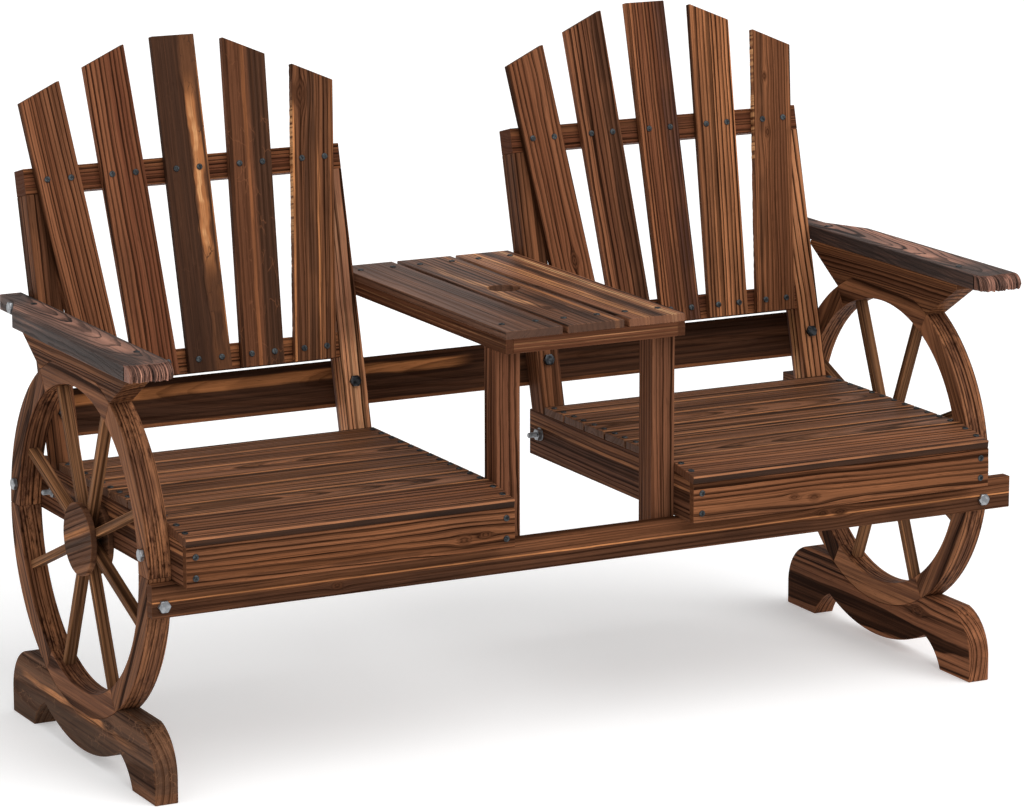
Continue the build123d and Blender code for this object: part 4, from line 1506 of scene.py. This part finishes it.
@dataclass
class WheelSide(SubAssembly):
    """A spoked wheel with its foot, arm block and arm."""

    radius: float = 257.0
    felloe_depth: float = 35.0
    felloes: int = 6
    flat_depth: float = 13.0
    scorches: Spot = (0.5, 0.6, 0.7)
    spokes: int = 8
    spoke_width: float = 11.5
    spoke_start: float = 15.0
    spoke_ease: float = 1.6
    disc_radius: float = 53.0
    disc_thickness: float = 9.0
    disc_grain: Spot = (-1.0, 0.38, 0.0)
    foot_half: float = 268.0
    toe: float = 83.0
    toe_height: float = 40.0
    shoulder: float = 105.0
    shoulder_run: float = 56.0
    shoulder_bend: Point = (0.3, 0.64)
    arch: Point = (140.0, 44.0)
    knee_out: float = 4.0
    knee_share: float = 0.62
    belly: float = 11.0
    belly_share: float = 0.55
    arm_bottom: float = 604.5
    arm_thickness: float = 23.0
    arm_width: float = 68.0
    tail_width: float = 35.0
    arm_front: float = -290.0
    arm_rear: float = 282.9
    tail_start: float = 223.9
    kink: float = 147.9
    nose_run: float = 18.0
    nose_drop: float = 12.0
    nose_line: tuple[Point, ...] = (
        (0.0, 12), (0.09, 5), (0.25, 1), (0.43, 0), (0.62, 4), (0.8, 3), (1.0, 5),
    )
    fibres: int = 34
    fibre_root: float = 5.0
    fibre_backs: tuple[float, ...] = (0.0, 0.0, 0.8, 1.6, 3.0)
    fibre_lifts: tuple[float, ...] = (0.2, 0.6, 1.2, 2.0)
    fibre_sinks: Point = (0.1, 1.4)
    fibre_drops: Point = (-2.0, 5.0)
    fibre_slants: Point = (0.0, 4.0)
    fibre_grain: Spot = (0.25, 1.0, 0.0)
    fibre_tones: tuple[float, ...] = (0.25, 0.45, 0.7, 1.05)
    block_half: float = 212.0
    block_lip: float = 7.0

    @property
    def axle(self) -> Point:
        """The hub's middle in Y and Z."""
        return 0.0, self.stock.hub

    def board(self, outline: list[Point], along: Vector, across: Vector, cut: Cut, **more: float) -> Plank:
        """A board as wide as the wheel."""
        place = self.stock.side_place(self.side, self.stock.chair_out)
        return Plank(outline, self.stock.wheel_width, place, along, across, cut, **more)

    def felloe(self, number: int) -> Plank:
        """One piece of the rim, counted from the top.

        Args:
            number: Its place round the rim.

        Returns:
            The board, with straight grain along its chord.
        """
        hub, step = self.stock.hub, 360 / self.felloes
        middle = 90 + number * step
        start, end = middle - step / 2, middle + step / 2
        outer = arc(self.axle, self.radius, start, end, steps=20)
        inner = arc(self.axle, self.radius - self.felloe_depth, end, start, steps=20)
        flat = hub + self.radius - self.flat_depth
        face, low, high = self.stock.front_rail_rear, self.stock.front_rail_bottom, self.stock.rail_bottom
        shaped: list[Point] = []
        for y, z in outer:
            if y < face and low < z < high:
                if not shaped or shaped[-1][0] < face:
                    shaped.append((-math.sqrt(self.radius ** 2 - (high - hub) ** 2), high))
                    shaped.append((face, high))
                shaped.append((face, z))
            else:
                shaped.append((y, min(z, flat)))
        turn = math.radians(middle)
        along = Vector((-math.sin(turn), math.cos(turn), 0))
        across = Vector((math.cos(turn), math.sin(turn), 0))
        scorch = self.scorches[number % len(self.scorches)]
        return self.board(shaped + inner, along, across, Cut.FACE, scorch=scorch)

    def spoke(self, number: int) -> Plank:
        """One spoke, from inside the hub discs to the rim.

        Args:
            number: Its place round the hub.

        Returns:
            The board.
        """
        stock, half = self.stock, self.spoke_width / 2
        limit = self.radius - self.felloe_depth
        swing = math.degrees(math.asin(half / limit))
        tip = arc((0, 0), limit, -swing, swing, steps=4)
        outline = [(self.spoke_start, -half)] + tip + [(self.spoke_start, half)]
        turn = math.radians(90 + (number + 0.5) * 360 / self.spokes)
        cosine, sine = math.cos(turn), math.sin(turn)
        turned = [(x * cosine - y * sine, stock.hub + x * sine + y * cosine) for x, y in outline]
        place = stock.side_place(self.side, stock.chair_out + self.disc_thickness)
        along, across = Vector((cosine, sine, 0)), Vector((-sine, cosine, 0))
        depth = stock.wheel_width - 2 * self.disc_thickness
        return Plank(turned, depth, place, along, across, Cut.RIFT, self.spoke_ease)

    def disc(self, x: float) -> Plank:
        """One hub disc, with its inner face at x."""
        place = self.stock.side_place(self.side, x)
        return Plank(circle(self.axle, self.disc_radius), self.disc_thickness, place, Vector(self.disc_grain),
                     Y_WAY, ease=1.2)

    def foot(self) -> Plank:
        """The wavy foot, hollowed for the rim.

        Returns:
            The board.
        """
        hub, end = self.stock.hub, self.foot_half
        toe, (arch_y, arch_z) = end - self.toe, self.arch
        knee = ((toe + arch_y) / 2 + self.knee_out, arch_z * self.knee_share)
        top = (end - self.shoulder_run, self.shoulder)
        bend = (end - self.shoulder_bend[0] * self.shoulder_run,
                self.toe_height + self.shoulder_bend[1] * (self.shoulder - self.toe_height))
        reach = math.sqrt(self.radius ** 2 - (hub - self.shoulder) ** 2)
        swing = math.degrees(math.asin(reach / self.radius))
        right = [(toe, 0.0), (end, 0.0), (end, self.toe_height)]
        right += arc_through((end, self.toe_height), bend, top, steps=12)[1:]
        right += arc(self.axle, self.radius, -90 + swing, -90, steps=16)
        belly_y = arch_y * self.belly_share
        under = arc_through((0, self.belly), (belly_y, self.belly_at(belly_y)), self.arch, steps=14)[1:]
        under += arc_through(self.arch, knee, (toe, 0), steps=10)[1:-1]
        left = [(-y, z) for y, z in reversed(right[:-1])]
        below = [(-y, z) for y, z in reversed(under)] + [(0.0, self.belly)] + under
        return self.board(right + left + below, X_WAY, Y_WAY, Cut.FACE, ease=1.6, scorch=0.6)

    def belly_at(self, y: float) -> float:
        """Height of the foot's belly curve.

        Args:
            y: The depth it is asked for.

        Returns:
            The height.
        """
        rise = self.arch[1] - self.belly
        big = (self.arch[0] ** 2 + rise ** 2) / (2 * rise)
        return self.belly + big - math.sqrt(big ** 2 - y ** 2)

    def block(self) -> Plank:
        """The block between rim and arm, with raking ends.

        Returns:
            The board.
        """
        half_step = math.radians(180 / self.felloes)
        foot = (self.radius * math.sin(half_step), self.stock.hub + self.radius * math.cos(half_step))
        flat = self.radius - self.flat_depth
        flat_half = math.sqrt(self.radius ** 2 - flat ** 2)
        swing = math.degrees(math.asin(flat_half / self.radius))
        curve = arc(self.axle, self.radius, 90 - 180 / self.felloes, 90 - swing, steps=8)[1:]
        lip = self.arm_bottom - self.block_lip
        right = [foot, (self.block_half, lip), (self.block_half, self.arm_bottom)]
        left = [(-y, z) for y, z in reversed(right)]
        over = [(-y, z) for y, z in curve] + list(reversed(curve))
        return self.board(right + left + over, X_WAY, Y_WAY, Cut.QUARTER)

    def nose(self, share: float) -> float:
        """Y of the arm's torn front.

        Args:
            share: The share of the arm's width it is asked for.

        Returns:
            The depth.
        """
        for (start, back_a), (end, back_b) in zip(self.nose_line[:-1], self.nose_line[1:]):
            if start <= share <= end:
                return self.arm_front + back_a + (back_b - back_a) * (share - start) / (end - start)
        return self.arm_front

    def arm(self) -> list[Plank]:
        """The flat arm with a narrow tail, and the torn fibres of its front.

        Returns:
            The board and its fibres.
        """
        inside, rear = self.stock.chair_out, self.arm_rear
        tail, outside = inside + self.tail_width, inside + self.arm_width
        outline = [(inside + share * self.arm_width, self.arm_front + back + self.nose_run)
                   for share, back in self.nose_line]
        outline += [(outside, self.kink), (tail, self.tail_start), (tail, rear), (inside, rear)]
        place = self.stock.flat_place(self.side, self.arm_bottom)
        board = Plank(outline, self.arm_thickness, place, Y_WAY, X_WAY, Cut.FLAT, ease=1.8, scorch=0.55)
        rng = random.Random(self.side.node("torn_front"))
        return [board] + [self.fibre(number, rng) for number in range(self.fibres)]

    def fibre(self, number: int, rng: random.Random) -> Plank:
        """One torn fibre, a curved blade in front of the arm.

        Args:
            number: Its place across the arm.
            rng: Source of the fibre's own shape.

        Returns:
            The blade.
        """
        pitch = self.arm_width / self.fibres
        tip = self.nose((number + 0.5) / self.fibres)
        front = tip + rng.choice(self.fibre_backs)
        low = self.arm_bottom + rng.choice(self.fibre_lifts)
        high = self.arm_bottom + self.arm_thickness - rng.uniform(*self.fibre_sinks)
        drop, run = self.nose_drop + rng.uniform(*self.fibre_drops), tip + self.nose_run - front
        bend = (run ** 2 + drop ** 2) / (2 * drop)
        swing = 2 * math.degrees(math.atan2(drop, run))
        nose = arc((front + run, high - bend), bend, 90 + swing, 90, steps=6)
        root = front + run + self.fibre_root
        outline = [(root, low), (front + rng.uniform(*self.fibre_slants), low)] + nose + [(root, high)]
        place = self.stock.side_place(self.side, self.stock.chair_out + pitch * number)
        tone = rng.choice(self.fibre_tones)
        grain = Vector(self.fibre_grain)
        return Plank(outline, pitch, place, grain, Z_WAY, ease=0.7, tone=tone, scorch=0.1)

    def build(self) -> None:
        """Make every piece of the wheel side."""
        rim = [self.felloe(number) for number in range(self.felloes)]
        spokes = [self.spoke(number) for number in range(self.spokes)]
        discs = [self.disc(x) for x in (self.stock.chair_out, self.stock.wheel_out - self.disc_thickness)]
        foot_look = Finishes.FOOT_LEFT if self.side is Side.LEFT else Finishes.FOOT_RIGHT
        self.make("rim", rim, Finishes.FELLOE, "wheel_wood")
        self.make("spokes", spokes, Finishes.SPOKE, "wheel_wood")
        self.make("hub_discs", discs, Finishes.HUB, "wheel_wood")
        self.make("foot", [self.foot()], foot_look, "wheel_wood")
        self.make("arm_block", [self.block()], Finishes.BLOCK, "wheel_wood")
        self.make("arm", self.arm(), Finishes.ARM, "arm_wood")


@dataclass
class Table(SubAssembly):
    """The slatted table between the chairs."""

    top: float = 622.0
    front: float = -281.0
    rear: float = 272.0
    gap: float = 8.5
    skirt: float = 21.0
    hole_radius: float = 25.0
    hole_y: float = 6.0
    rear_bearer: float = 230.0
    looks: tuple[Finishes, ...] = (Finishes.TABLE_LEFT, Finishes.TABLE_MIDDLE, Finishes.TABLE_RIGHT)

    @property
    def skirt_top(self) -> float:
        """Height of the skirts' upper edge."""
        return self.top - self.stock.thin

    @property
    def skirt_bottom(self) -> float:
        """Height of the skirts' lower edge."""
        return self.skirt_top - self.skirt

    @property
    def inside(self) -> float:
        """X of the side skirts' inner face."""
        return self.stock.chair_in - self.stock.thin

    def slat(self, number: int) -> Plank:
        """One table slat; the middle one has the umbrella hole.

        Args:
            number: Its place from the left.

        Returns:
            The board.
        """
        stock, count = self.stock, len(self.looks)
        width = (2 * stock.chair_in - self.gap * (count - 1)) / count
        middle = (number - (count - 1) / 2) * (width + self.gap)
        outline = rectangle(middle - width / 2, middle + width / 2, self.front, self.rear)
        holes = [circle((0, self.hole_y), self.hole_radius)] if number == count // 2 else []
        cut = Cut.RIFT if number == 0 else Cut.QUARTER
        place = stock.flat_place(self.side, self.skirt_top)
        return Plank(outline, stock.thin, place, Y_WAY, X_WAY, cut, holes=holes)

    def leg(self, side: Side) -> list[Plank]:
        """One leg and the tongue that passes behind the skirts.

        Args:
            side: The half of the seat.

        Returns:
            The two boards.
        """
        stock, made = self.stock, []
        inner, front = stock.chair_in - stock.stick, stock.front_rail_rear
        for outer, low, high in ((stock.chair_in, stock.front_rail_bottom, self.skirt_bottom),
                                 (self.inside, self.skirt_bottom, self.skirt_top)):
            outline = rectangle(inner, outer, front, front + stock.stick)
            made.append(Plank(outline, high - low, stock.flat_place(side, low), Z_WAY, X_WAY, Cut.RIFT))
        return made

    def side_skirt(self, side: Side) -> Plank:
        """One side skirt."""
        outline = rectangle(self.front, self.rear, self.skirt_bottom, self.skirt_top)
        return Plank(outline, self.stock.thin, self.stock.side_place(side, self.inside), X_WAY, Y_WAY)

    def front_skirt(self) -> Plank:
        """The skirt between the side skirts.

        Returns:
            The board.
        """
        outline = rectangle(-self.inside, self.inside, self.skirt_bottom, self.skirt_top)
        place = self.stock.front_place(self.side, self.front + self.stock.thin)
        return Plank(outline, self.stock.thin, place, X_WAY, Y_WAY)

    def bearer(self, reach: float, middle: float) -> Plank:
        """A hidden cross piece under the slats.

        Args:
            reach: How far it reaches to either side.
            middle: Y of its middle line.

        Returns:
            The board.
        """
        half = self.stock.stick / 2
        outline = rectangle(-reach, reach, middle - half, middle + half)
        return Plank(outline, self.skirt, self.stock.flat_place(self.side, self.skirt_bottom), X_WAY, Y_WAY)

    def build(self) -> None:
        """Make every piece of the table."""
        stock, boards = self.stock, self.shop.boards
        for number, look in enumerate(self.looks):
            boards(f"table_slat_{number + 1}", [self.slat(number)], look, "slat_wood")
        for side in Side:
            boards(side.node("table_skirt"), [self.side_skirt(side)], Finishes.SKIRT, "slat_wood")
            boards(side.node("table_leg"), self.leg(side), Finishes.LEG, "frame_wood")
        boards("front_table_skirt", [self.front_skirt()], Finishes.SKIRT, "slat_wood")
        bearers = [self.bearer(stock.chair_in - stock.stick, stock.front_rail_rear + stock.stick / 2),
                   self.bearer(self.inside, self.rear_bearer)]
        boards("table_bearers", bearers, Finishes.CROSS_RAIL, "frame_wood")


@dataclass
class LongRails(SubAssembly):
    """The two rails that run the whole length."""

    thickness: float = 18.0
    overhang: float = 30.0
    back_bottom: float = 33.0
    back_height: float = 70.0

    def build(self) -> None:
        """Make both rails."""
        stock = self.stock
        outline = rectangle(-stock.wheel_out, stock.wheel_out + self.overhang, stock.front_rail_bottom,
                            stock.rail_bottom)
        place = stock.front_place(Side.RIGHT, stock.front_rail_rear)
        front = Plank(outline, self.thickness, place, X_WAY, Y_WAY)
        self.shop.boards("front_rail", [front], Finishes.FRONT_RAIL, "frame_wood")
        outline = rectangle(-stock.chair_out, stock.chair_out, self.back_bottom,
                            self.back_bottom + self.back_height)
        place = stock.lean_place(Side.RIGHT, stock.stick + self.thickness)
        back = Plank(outline, self.thickness, place, X_WAY, Y_WAY, Cut.FLAT, scorch=0.8)
        self.shop.boards("back_rail", [back], Finishes.BACK_RAIL, "frame_wood")


@dataclass
class Turned:
    """A steel part built of rings round one axis, in millimetres."""

    verts: list[Vector] = field(default_factory=list)
    faces: list[list[int]] = field(default_factory=list)

    def rings(self, place: Matrix, loops: Sequence[Loop]) -> None:
        """Join loops of equal count into a closed skin, from the lowest loop up.

        Args:
            place: Where the part's own axes lie in the row frame.
            loops: The loops, each anticlockwise seen from above.
        """
        count, first = len(loops[0]), len(self.verts)
        for loop in loops:
            self.verts += [place @ Vector(point) for point in loop]
        self.faces += tube(first, count, len(loops))
        self.faces.append(list(range(first, first + count))[::-1])
        self.faces.append(list(range(len(self.verts) - count, len(self.verts))))

    def mesh(self, name: str) -> bpy.types.Mesh:
        """The finished mesh in metres.

        Args:
            name: The mesh's name.

        Returns:
            The mesh.
        """
        made = bpy.data.meshes.new(name)
        made.from_pydata([vert * MM for vert in self.verts], [], self.faces)
        return made


def ring(radius: float, height: float, count: int) -> Loop:
    """A level circle."""
    turns = [2 * math.pi * number / count for number in range(count)]
    return [(radius * math.cos(turn), radius * math.sin(turn), height) for turn in turns]


@dataclass
class Fasteners:
    """Screws, bolts, washers and nuts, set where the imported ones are."""

    shop: Workshop
    shank: float = 2.0
    point: float = 4.0
    point_share: float = 0.3
    head: float = 4.7
    head_height: float = 1.6
    head_profile: tuple[Point, ...] = ((1.0, 1.0), (1.0, 0.55), (0.93, 0.25), (0.78, 0.0))
    slot_half: float = 0.6
    slot_reach: float = 2.8
    slot_depth: float = 0.9
    slot_floor: float = 0.75
    bolt: float = 4.0
    bolt_end: Point = (0.85, 1.0)
    across: float = 16.0
    bolt_head: float = 5.5
    chamfer: Point = (0.25, 0.95)
    face_share: float = 0.93
    dish: Point = (0.6, 0.12)
    seam: float = 0.02
    washer: float = 10.0
    washer_thickness: float = 1.6
    washer_profile: tuple[Point, ...] = ((1.0, 0.0), (1.0, 0.8), (0.96, 1.0))
    nut: float = 6.5
    nut_foot: Point = (0.3, -0.8)
    nut_chamfer: Point = (0.2, 0.9)
    bore_depth: float = 0.5
    lap_stick: float = 38.0
    thread_showing: float = 20.0
    thread_pitch: float = 1.25
    thread_start: float = 0.6
    thread_root: float = 0.86
    thread_tip: float = 0.7
    round_count: int = 24
    hex_count: int = 12
    screw_groups: tuple[str, ...] = ("seat_screws", "back_screws", "table_screws", "arm_screws")
    bolt_groups: dict[str, Fittings] = field(default_factory=lambda: {
        "side_bolts": Fittings.BOLT, "rail_bolts": Fittings.BOLT, "post_bolts": Fittings.POST_BOLT,
    })

    @staticmethod
    def places(node: str) -> list[tuple[Matrix, float]]:
        """Read where each fastener of a packed group sits.

        Args:
            node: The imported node's name.

        Returns:
            For each one, a matrix whose origin is the top of its head and whose Z looks out, and its length.
        """
        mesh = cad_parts[node].data
        spots: dict[tuple, int] = {}
        keys = []
        for vertex in mesh.vertices:
            key = tuple(round(value / MM, 3) for value in vertex.co)
            keys.append(spots.setdefault(key, len(spots)))
        owner = list(range(len(spots)))

        def root(index: int) -> int:
            """The first member of a point's group."""
            while owner[index] != index:
                owner[index] = owner[owner[index]]
                index = owner[index]
            return index

        for edge in mesh.edges:
            first, second = (root(keys[index]) for index in edge.vertices)
            owner[first] = second
        groups: dict[int, list[Vector]] = {}
        for point, index in spots.items():
            groups.setdefault(root(index), []).append(Vector(point))
        return [Fasteners.stance(points) for points in groups.values()]

    @staticmethod
    def stance(points: list[Vector]) -> tuple[Matrix, float]:
        """The head's top and the outward direction of one fastener.

        Args:
            points: Its vertices in millimetres.

        Returns:
            The matrix and the length.
        """
        settling_turns, end_slack, steep = 6, 0.4, 0.9
        centre = sum(points, Vector()) / len(points)
        first = max(points, key=lambda point: (point - centre).length)
        second = max(points, key=lambda point: (point - first).length)
        way = (second - first).normalized()
        for _ in range(settling_turns):
            along = [(point - centre).dot(way) for point in points]
            way = sum(((point - centre) * far for point, far in zip(points, along)), Vector()).normalized()
        along = [(point - centre).dot(way) for point in points]
        low, high = min(along), max(along)

        def width(edge: float) -> float:
            """How far the end at an edge reaches from the axis."""
            near = [point - centre for point, far in zip(points, along) if abs(far - edge) < end_slack]
            return max((spot - way * spot.dot(way)).length for spot in near)

        if width(low) > width(high):
            way, low, high = -way, -high, -low
        inner = [point - way * (point - centre).dot(way) for point in points]
        axis_point = Vector([(min(values) + max(values)) / 2 for values in zip(*inner)])
        aim = Z_WAY if abs(way.z) < steep else Y_WAY
        side = aim.cross(way).normalized()
        turn = Matrix((side, way.cross(side), way)).transposed().to_4x4()
        return Matrix.Translation(axis_point + way * high) @ turn, high - low

    def cross(self, height: float, share: float = 1.0) -> Loop:
        """A cross-shaped loop for a driver, in steps that match a circle of twenty-four.

        Args:
            height: Its height.
            share: Its size against the cross at the top.

        Returns:
            The loop.
        """
        half, reach = self.slot_half, self.slot_reach
        flank, shoulder, root = half * 0.6, reach * 0.8, half * 1.3
        quarter = [(reach, 0.0), (reach, flank), (shoulder, half),
                   (root, half), (half, root), (half, shoulder)]
        loop: Loop = []
        for turn in range(4):
            cosine, sine = math.cos(turn * math.pi / 2), math.sin(turn * math.pi / 2)
            loop += [((x * cosine - y * sine) * share, (x * sine + y * cosine) * share, height)
                     for x, y in quarter]
        return loop

    def hexagon(self, height: float, dip: float = 0.0) -> Loop:
        """A six-sided loop with a point at each corner and at each flat's middle.

        Args:
            height: Its height.
            dip: How far its corners lie below that.

        Returns:
            The loop.
        """
        half, loop = self.across / 2, []
        for number in range(self.hex_count):
            turn = math.pi * number / 6
            reach, low = (half / math.cos(math.pi / 6), dip) if number % 2 == 0 else (half, 0.0)
            loop.append((reach * math.cos(turn), reach * math.sin(turn), height - low))
        return loop

    def screw(self, length: float) -> list[Loop]:
        """A wood screw with a domed head and a cross in it.

        Args:
            length: Its whole length.

        Returns:
            Its loops, from the point up.
        """
        spots = [(self.shank * self.point_share, -length), (self.shank, self.point - length),
                 (self.shank, -self.head_height - self.seam)]
        spots += [(self.head * wide, -self.head_height * deep) for wide, deep in self.head_profile]
        loops = [ring(radius, height, self.round_count) for radius, height in spots]
        return loops + [self.cross(0.0), self.cross(-self.slot_depth, self.slot_floor)]

    def bolt_ring(self, share: float, height: float) -> Loop:
        """A level circle, as a share of the bolt's radius."""
        return ring(self.bolt * share, height, self.hex_count)

    def hex_face(self, height: float) -> Loop:
        """The round edge of a chamfered head's or nut's face."""
        return ring(self.across / 2 * self.face_share, height, self.hex_count)

    def hex_head(self) -> list[Loop]:
        """The loops of a chamfered bolt head, from the shank under it to its face."""
        rim, drop = self.chamfer
        return [self.bolt_ring(1.0, -self.bolt_head - self.seam), self.hexagon(-self.bolt_head),
                self.hexagon(-rim, drop), self.hex_face(0.0)]

    def plain_bolt(self, length: float) -> list[Loop]:
        """A hex bolt with a dished head.

        Args:
            length: Its whole length.

        Returns:
            Its loops, from the end up.
        """
        (share, run), (wide, deep) = self.bolt_end, self.dish
        end = [self.bolt_ring(share, -length), self.bolt_ring(1.0, run - length)]
        return end + self.hex_head() + [ring(self.across / 2 * wide, -deep, self.hex_count)]

    def lap_bolt(self, length: float) -> list[Loop]:
        """A lap bolt: head, plain shank and showing thread.

        Args:
            length: Its whole length.

        Returns:
            Its loops, from the end up.
        """
        loops = [self.bolt_ring(self.thread_tip, -length)]
        turns = int((self.thread_showing + self.washer_thickness) / self.thread_pitch)
        for number in range(turns):
            base = -length + self.thread_start + number * self.thread_pitch
            loops.append(self.bolt_ring(self.thread_root, base))
            loops.append(self.bolt_ring(1.0, base + self.thread_pitch / 2))
        return loops + self.hex_head()

    def washer_and_nut(self, out: Turned, place: Matrix) -> None:
        """Add a washer and a nut on the thread, opposite a lap bolt's head.

        Args:
            out: The steel they are added to.
            place: Where the bolt head's top sits.
        """
        shift = Matrix.Translation((0, 0, -self.bolt_head - self.lap_stick))
        away = place @ shift @ Matrix.Rotation(math.pi, 4, "X")
        base = self.washer_thickness
        top = base + self.nut
        out.rings(away, [ring(self.washer * wide, base * high, self.round_count)
                         for wide, high in self.washer_profile])
        (foot, lift), (rim, drop) = self.nut_foot, self.nut_chamfer
        sides = [self.hexagon(base, lift), self.hexagon(base + foot), self.hexagon(top - rim, drop)]
        out.rings(away, sides + [self.hex_face(top), self.bolt_ring(1.0, top - self.bore_depth)])

    def build(self) -> None:
        """Make every group of fasteners."""
        shop = self.shop
        for node in self.screw_groups:
            out, rng = Turned(), random.Random(node)
            for place, length in self.places(node):
                out.rings(place @ Matrix.Rotation(rng.uniform(0, math.pi), 4, "Z"), self.screw(length))
            shop.place(node, out.mesh(f"{node}_steel"), shop.finish(Fittings.SCREW), "screw_steel")
        for node, look in self.bolt_groups.items():
            out = Turned()
            for place, length in self.places(node):
                out.rings(place, self.plain_bolt(length))
            shop.place(node, out.mesh(f"{node}_steel"), shop.finish(look), "bolt_steel")
        laps, nuts = Turned(), Turned()
        for place, length in self.places("lap_bolts"):
            laps.rings(place, self.lap_bolt(length))
            self.washer_and_nut(nuts, place)
        for node, out in (("lap_bolts", laps), ("lap_nuts", nuts)):
            shop.place(node, out.mesh(f"{node}_steel"), shop.finish(Fittings.BOLT), "bolt_steel")


@dataclass(frozen=True)
class Lamp:
    """A soft lamp: the way it lies, its power and its spread in degrees."""

    name: str
    way: Spot
    power: float
    spread: float = 60.0


@dataclass
class Studio:
    """Pale floor, soft lamps and the camera."""

    eye: Spot = (-3.0495, -5.8953, 1.9226)
    turn: float = -27.4301
    fall: float = 12.5271
    roll: float = 0.0735
    lens: float = 161.31
    sensor: float = 36.0
    farthest: float = 200.0
    lamps: tuple[Lamp, ...] = (
        Lamp("key_lamp", (0.3, -0.8, 0.9), 2.0),
        Lamp("fill_lamp", (-0.9, -0.35, 0.5), 0.35),
    )
    lamp_distance: float = 4.0
    sky: float = 0.52
    floor_reach: float = 60.0
    floor_grey: float = 0.88
    floor_glow: float = 0.3
    floor_roughness: float = 0.9
    floor_gloss: float = 0.1

    def floor(self) -> None:
        """Lay a plain pale floor."""
        reach = self.floor_reach
        corner_spots = [(x, y, 0) for x, y in rectangle(-reach, reach, -reach, reach)]
        mesh = bpy.data.meshes.new("floor")
        mesh.from_pydata(corner_spots, [], [(0, 1, 2, 3)])
        mesh.materials.append(NodeSheet("pale_floor").surface({
            "Base Color": (self.floor_grey, self.floor_grey, self.floor_grey, 1),
            "Emission Color": (1, 1, 1, 1),
            "Emission Strength": self.floor_glow,
            "Roughness": self.floor_roughness,
            "Specular IOR Level": self.floor_gloss,
        }))
        floor = bpy.data.objects.new("floor", mesh)
        bpy.context.scene.collection.objects.link(floor)

    def light(self) -> None:
        """Set up the soft lamps and an even pale sky."""
        for lamp in self.lamps:
            sun = bpy.data.lights.new(lamp.name, "SUN")
            sun.energy = lamp.power
            sun.angle = math.radians(lamp.spread)
            holder = bpy.data.objects.new(lamp.name, sun)
            holder.location = Vector(lamp.way) * self.lamp_distance
            holder.rotation_euler = Vector(lamp.way).to_track_quat("Z", "Y").to_euler()
            bpy.context.scene.collection.objects.link(holder)
        world = bpy.data.worlds.new("pale_sky")
        world.use_nodes = True
        back = world.node_tree.nodes["Background"]
        back.inputs["Color"].default_value = (1, 1, 1, 1)
        back.inputs["Strength"].default_value = self.sky
        bpy.context.scene.world = world

    def camera(self) -> None:
        """Set up the camera at the photograph's viewing angle."""
        yaw, pitch, roll = (math.radians(angle) for angle in (self.turn, self.fall, self.roll))
        ahead = Vector((-math.sin(yaw) * math.cos(pitch), math.cos(yaw) * math.cos(pitch), -math.sin(pitch)))
        level = ahead.cross(Z_WAY).normalized()
        plumb = ahead.cross(level)
        right = level * math.cos(roll) + plumb * math.sin(roll)
        down = plumb * math.cos(roll) - level * math.sin(roll)
        lens = bpy.data.cameras.new("camera")
        lens.lens = self.lens
        lens.sensor_width = self.sensor
        lens.sensor_fit = "HORIZONTAL"
        lens.clip_end = self.farthest
        holder = bpy.data.objects.new("camera", lens)
        aim = Matrix((right, -down, -ahead)).transposed().to_4x4()
        holder.matrix_world = Matrix.Translation(self.eye) @ aim
        bpy.context.scene.collection.objects.link(holder)
        bpy.context.scene.camera = holder

    def build(self) -> None:
        """Set up the whole studio."""
        self.floor()
        self.light()
        self.camera()
        bpy.context.scene.view_settings.view_transform = "Standard"


def main() -> None:
    """Build the studio and every sub-assembly, and note the sizes."""
    logging.basicConfig(level=logging.INFO, format="%(levelname)s %(message)s")
    stock, shop = Stock(), Workshop()
    Studio().build()
    for side in Side:
        for kind in (FanBack, Seat, WheelSide):
            kind(shop, stock, side).build()
    for kind in (Table, LongRails):
        kind(shop, stock).build()
    Fasteners(shop).build()
    LOG.info("%d pieces made", len(shop.made))


if __name__ == "__main__":
    main()
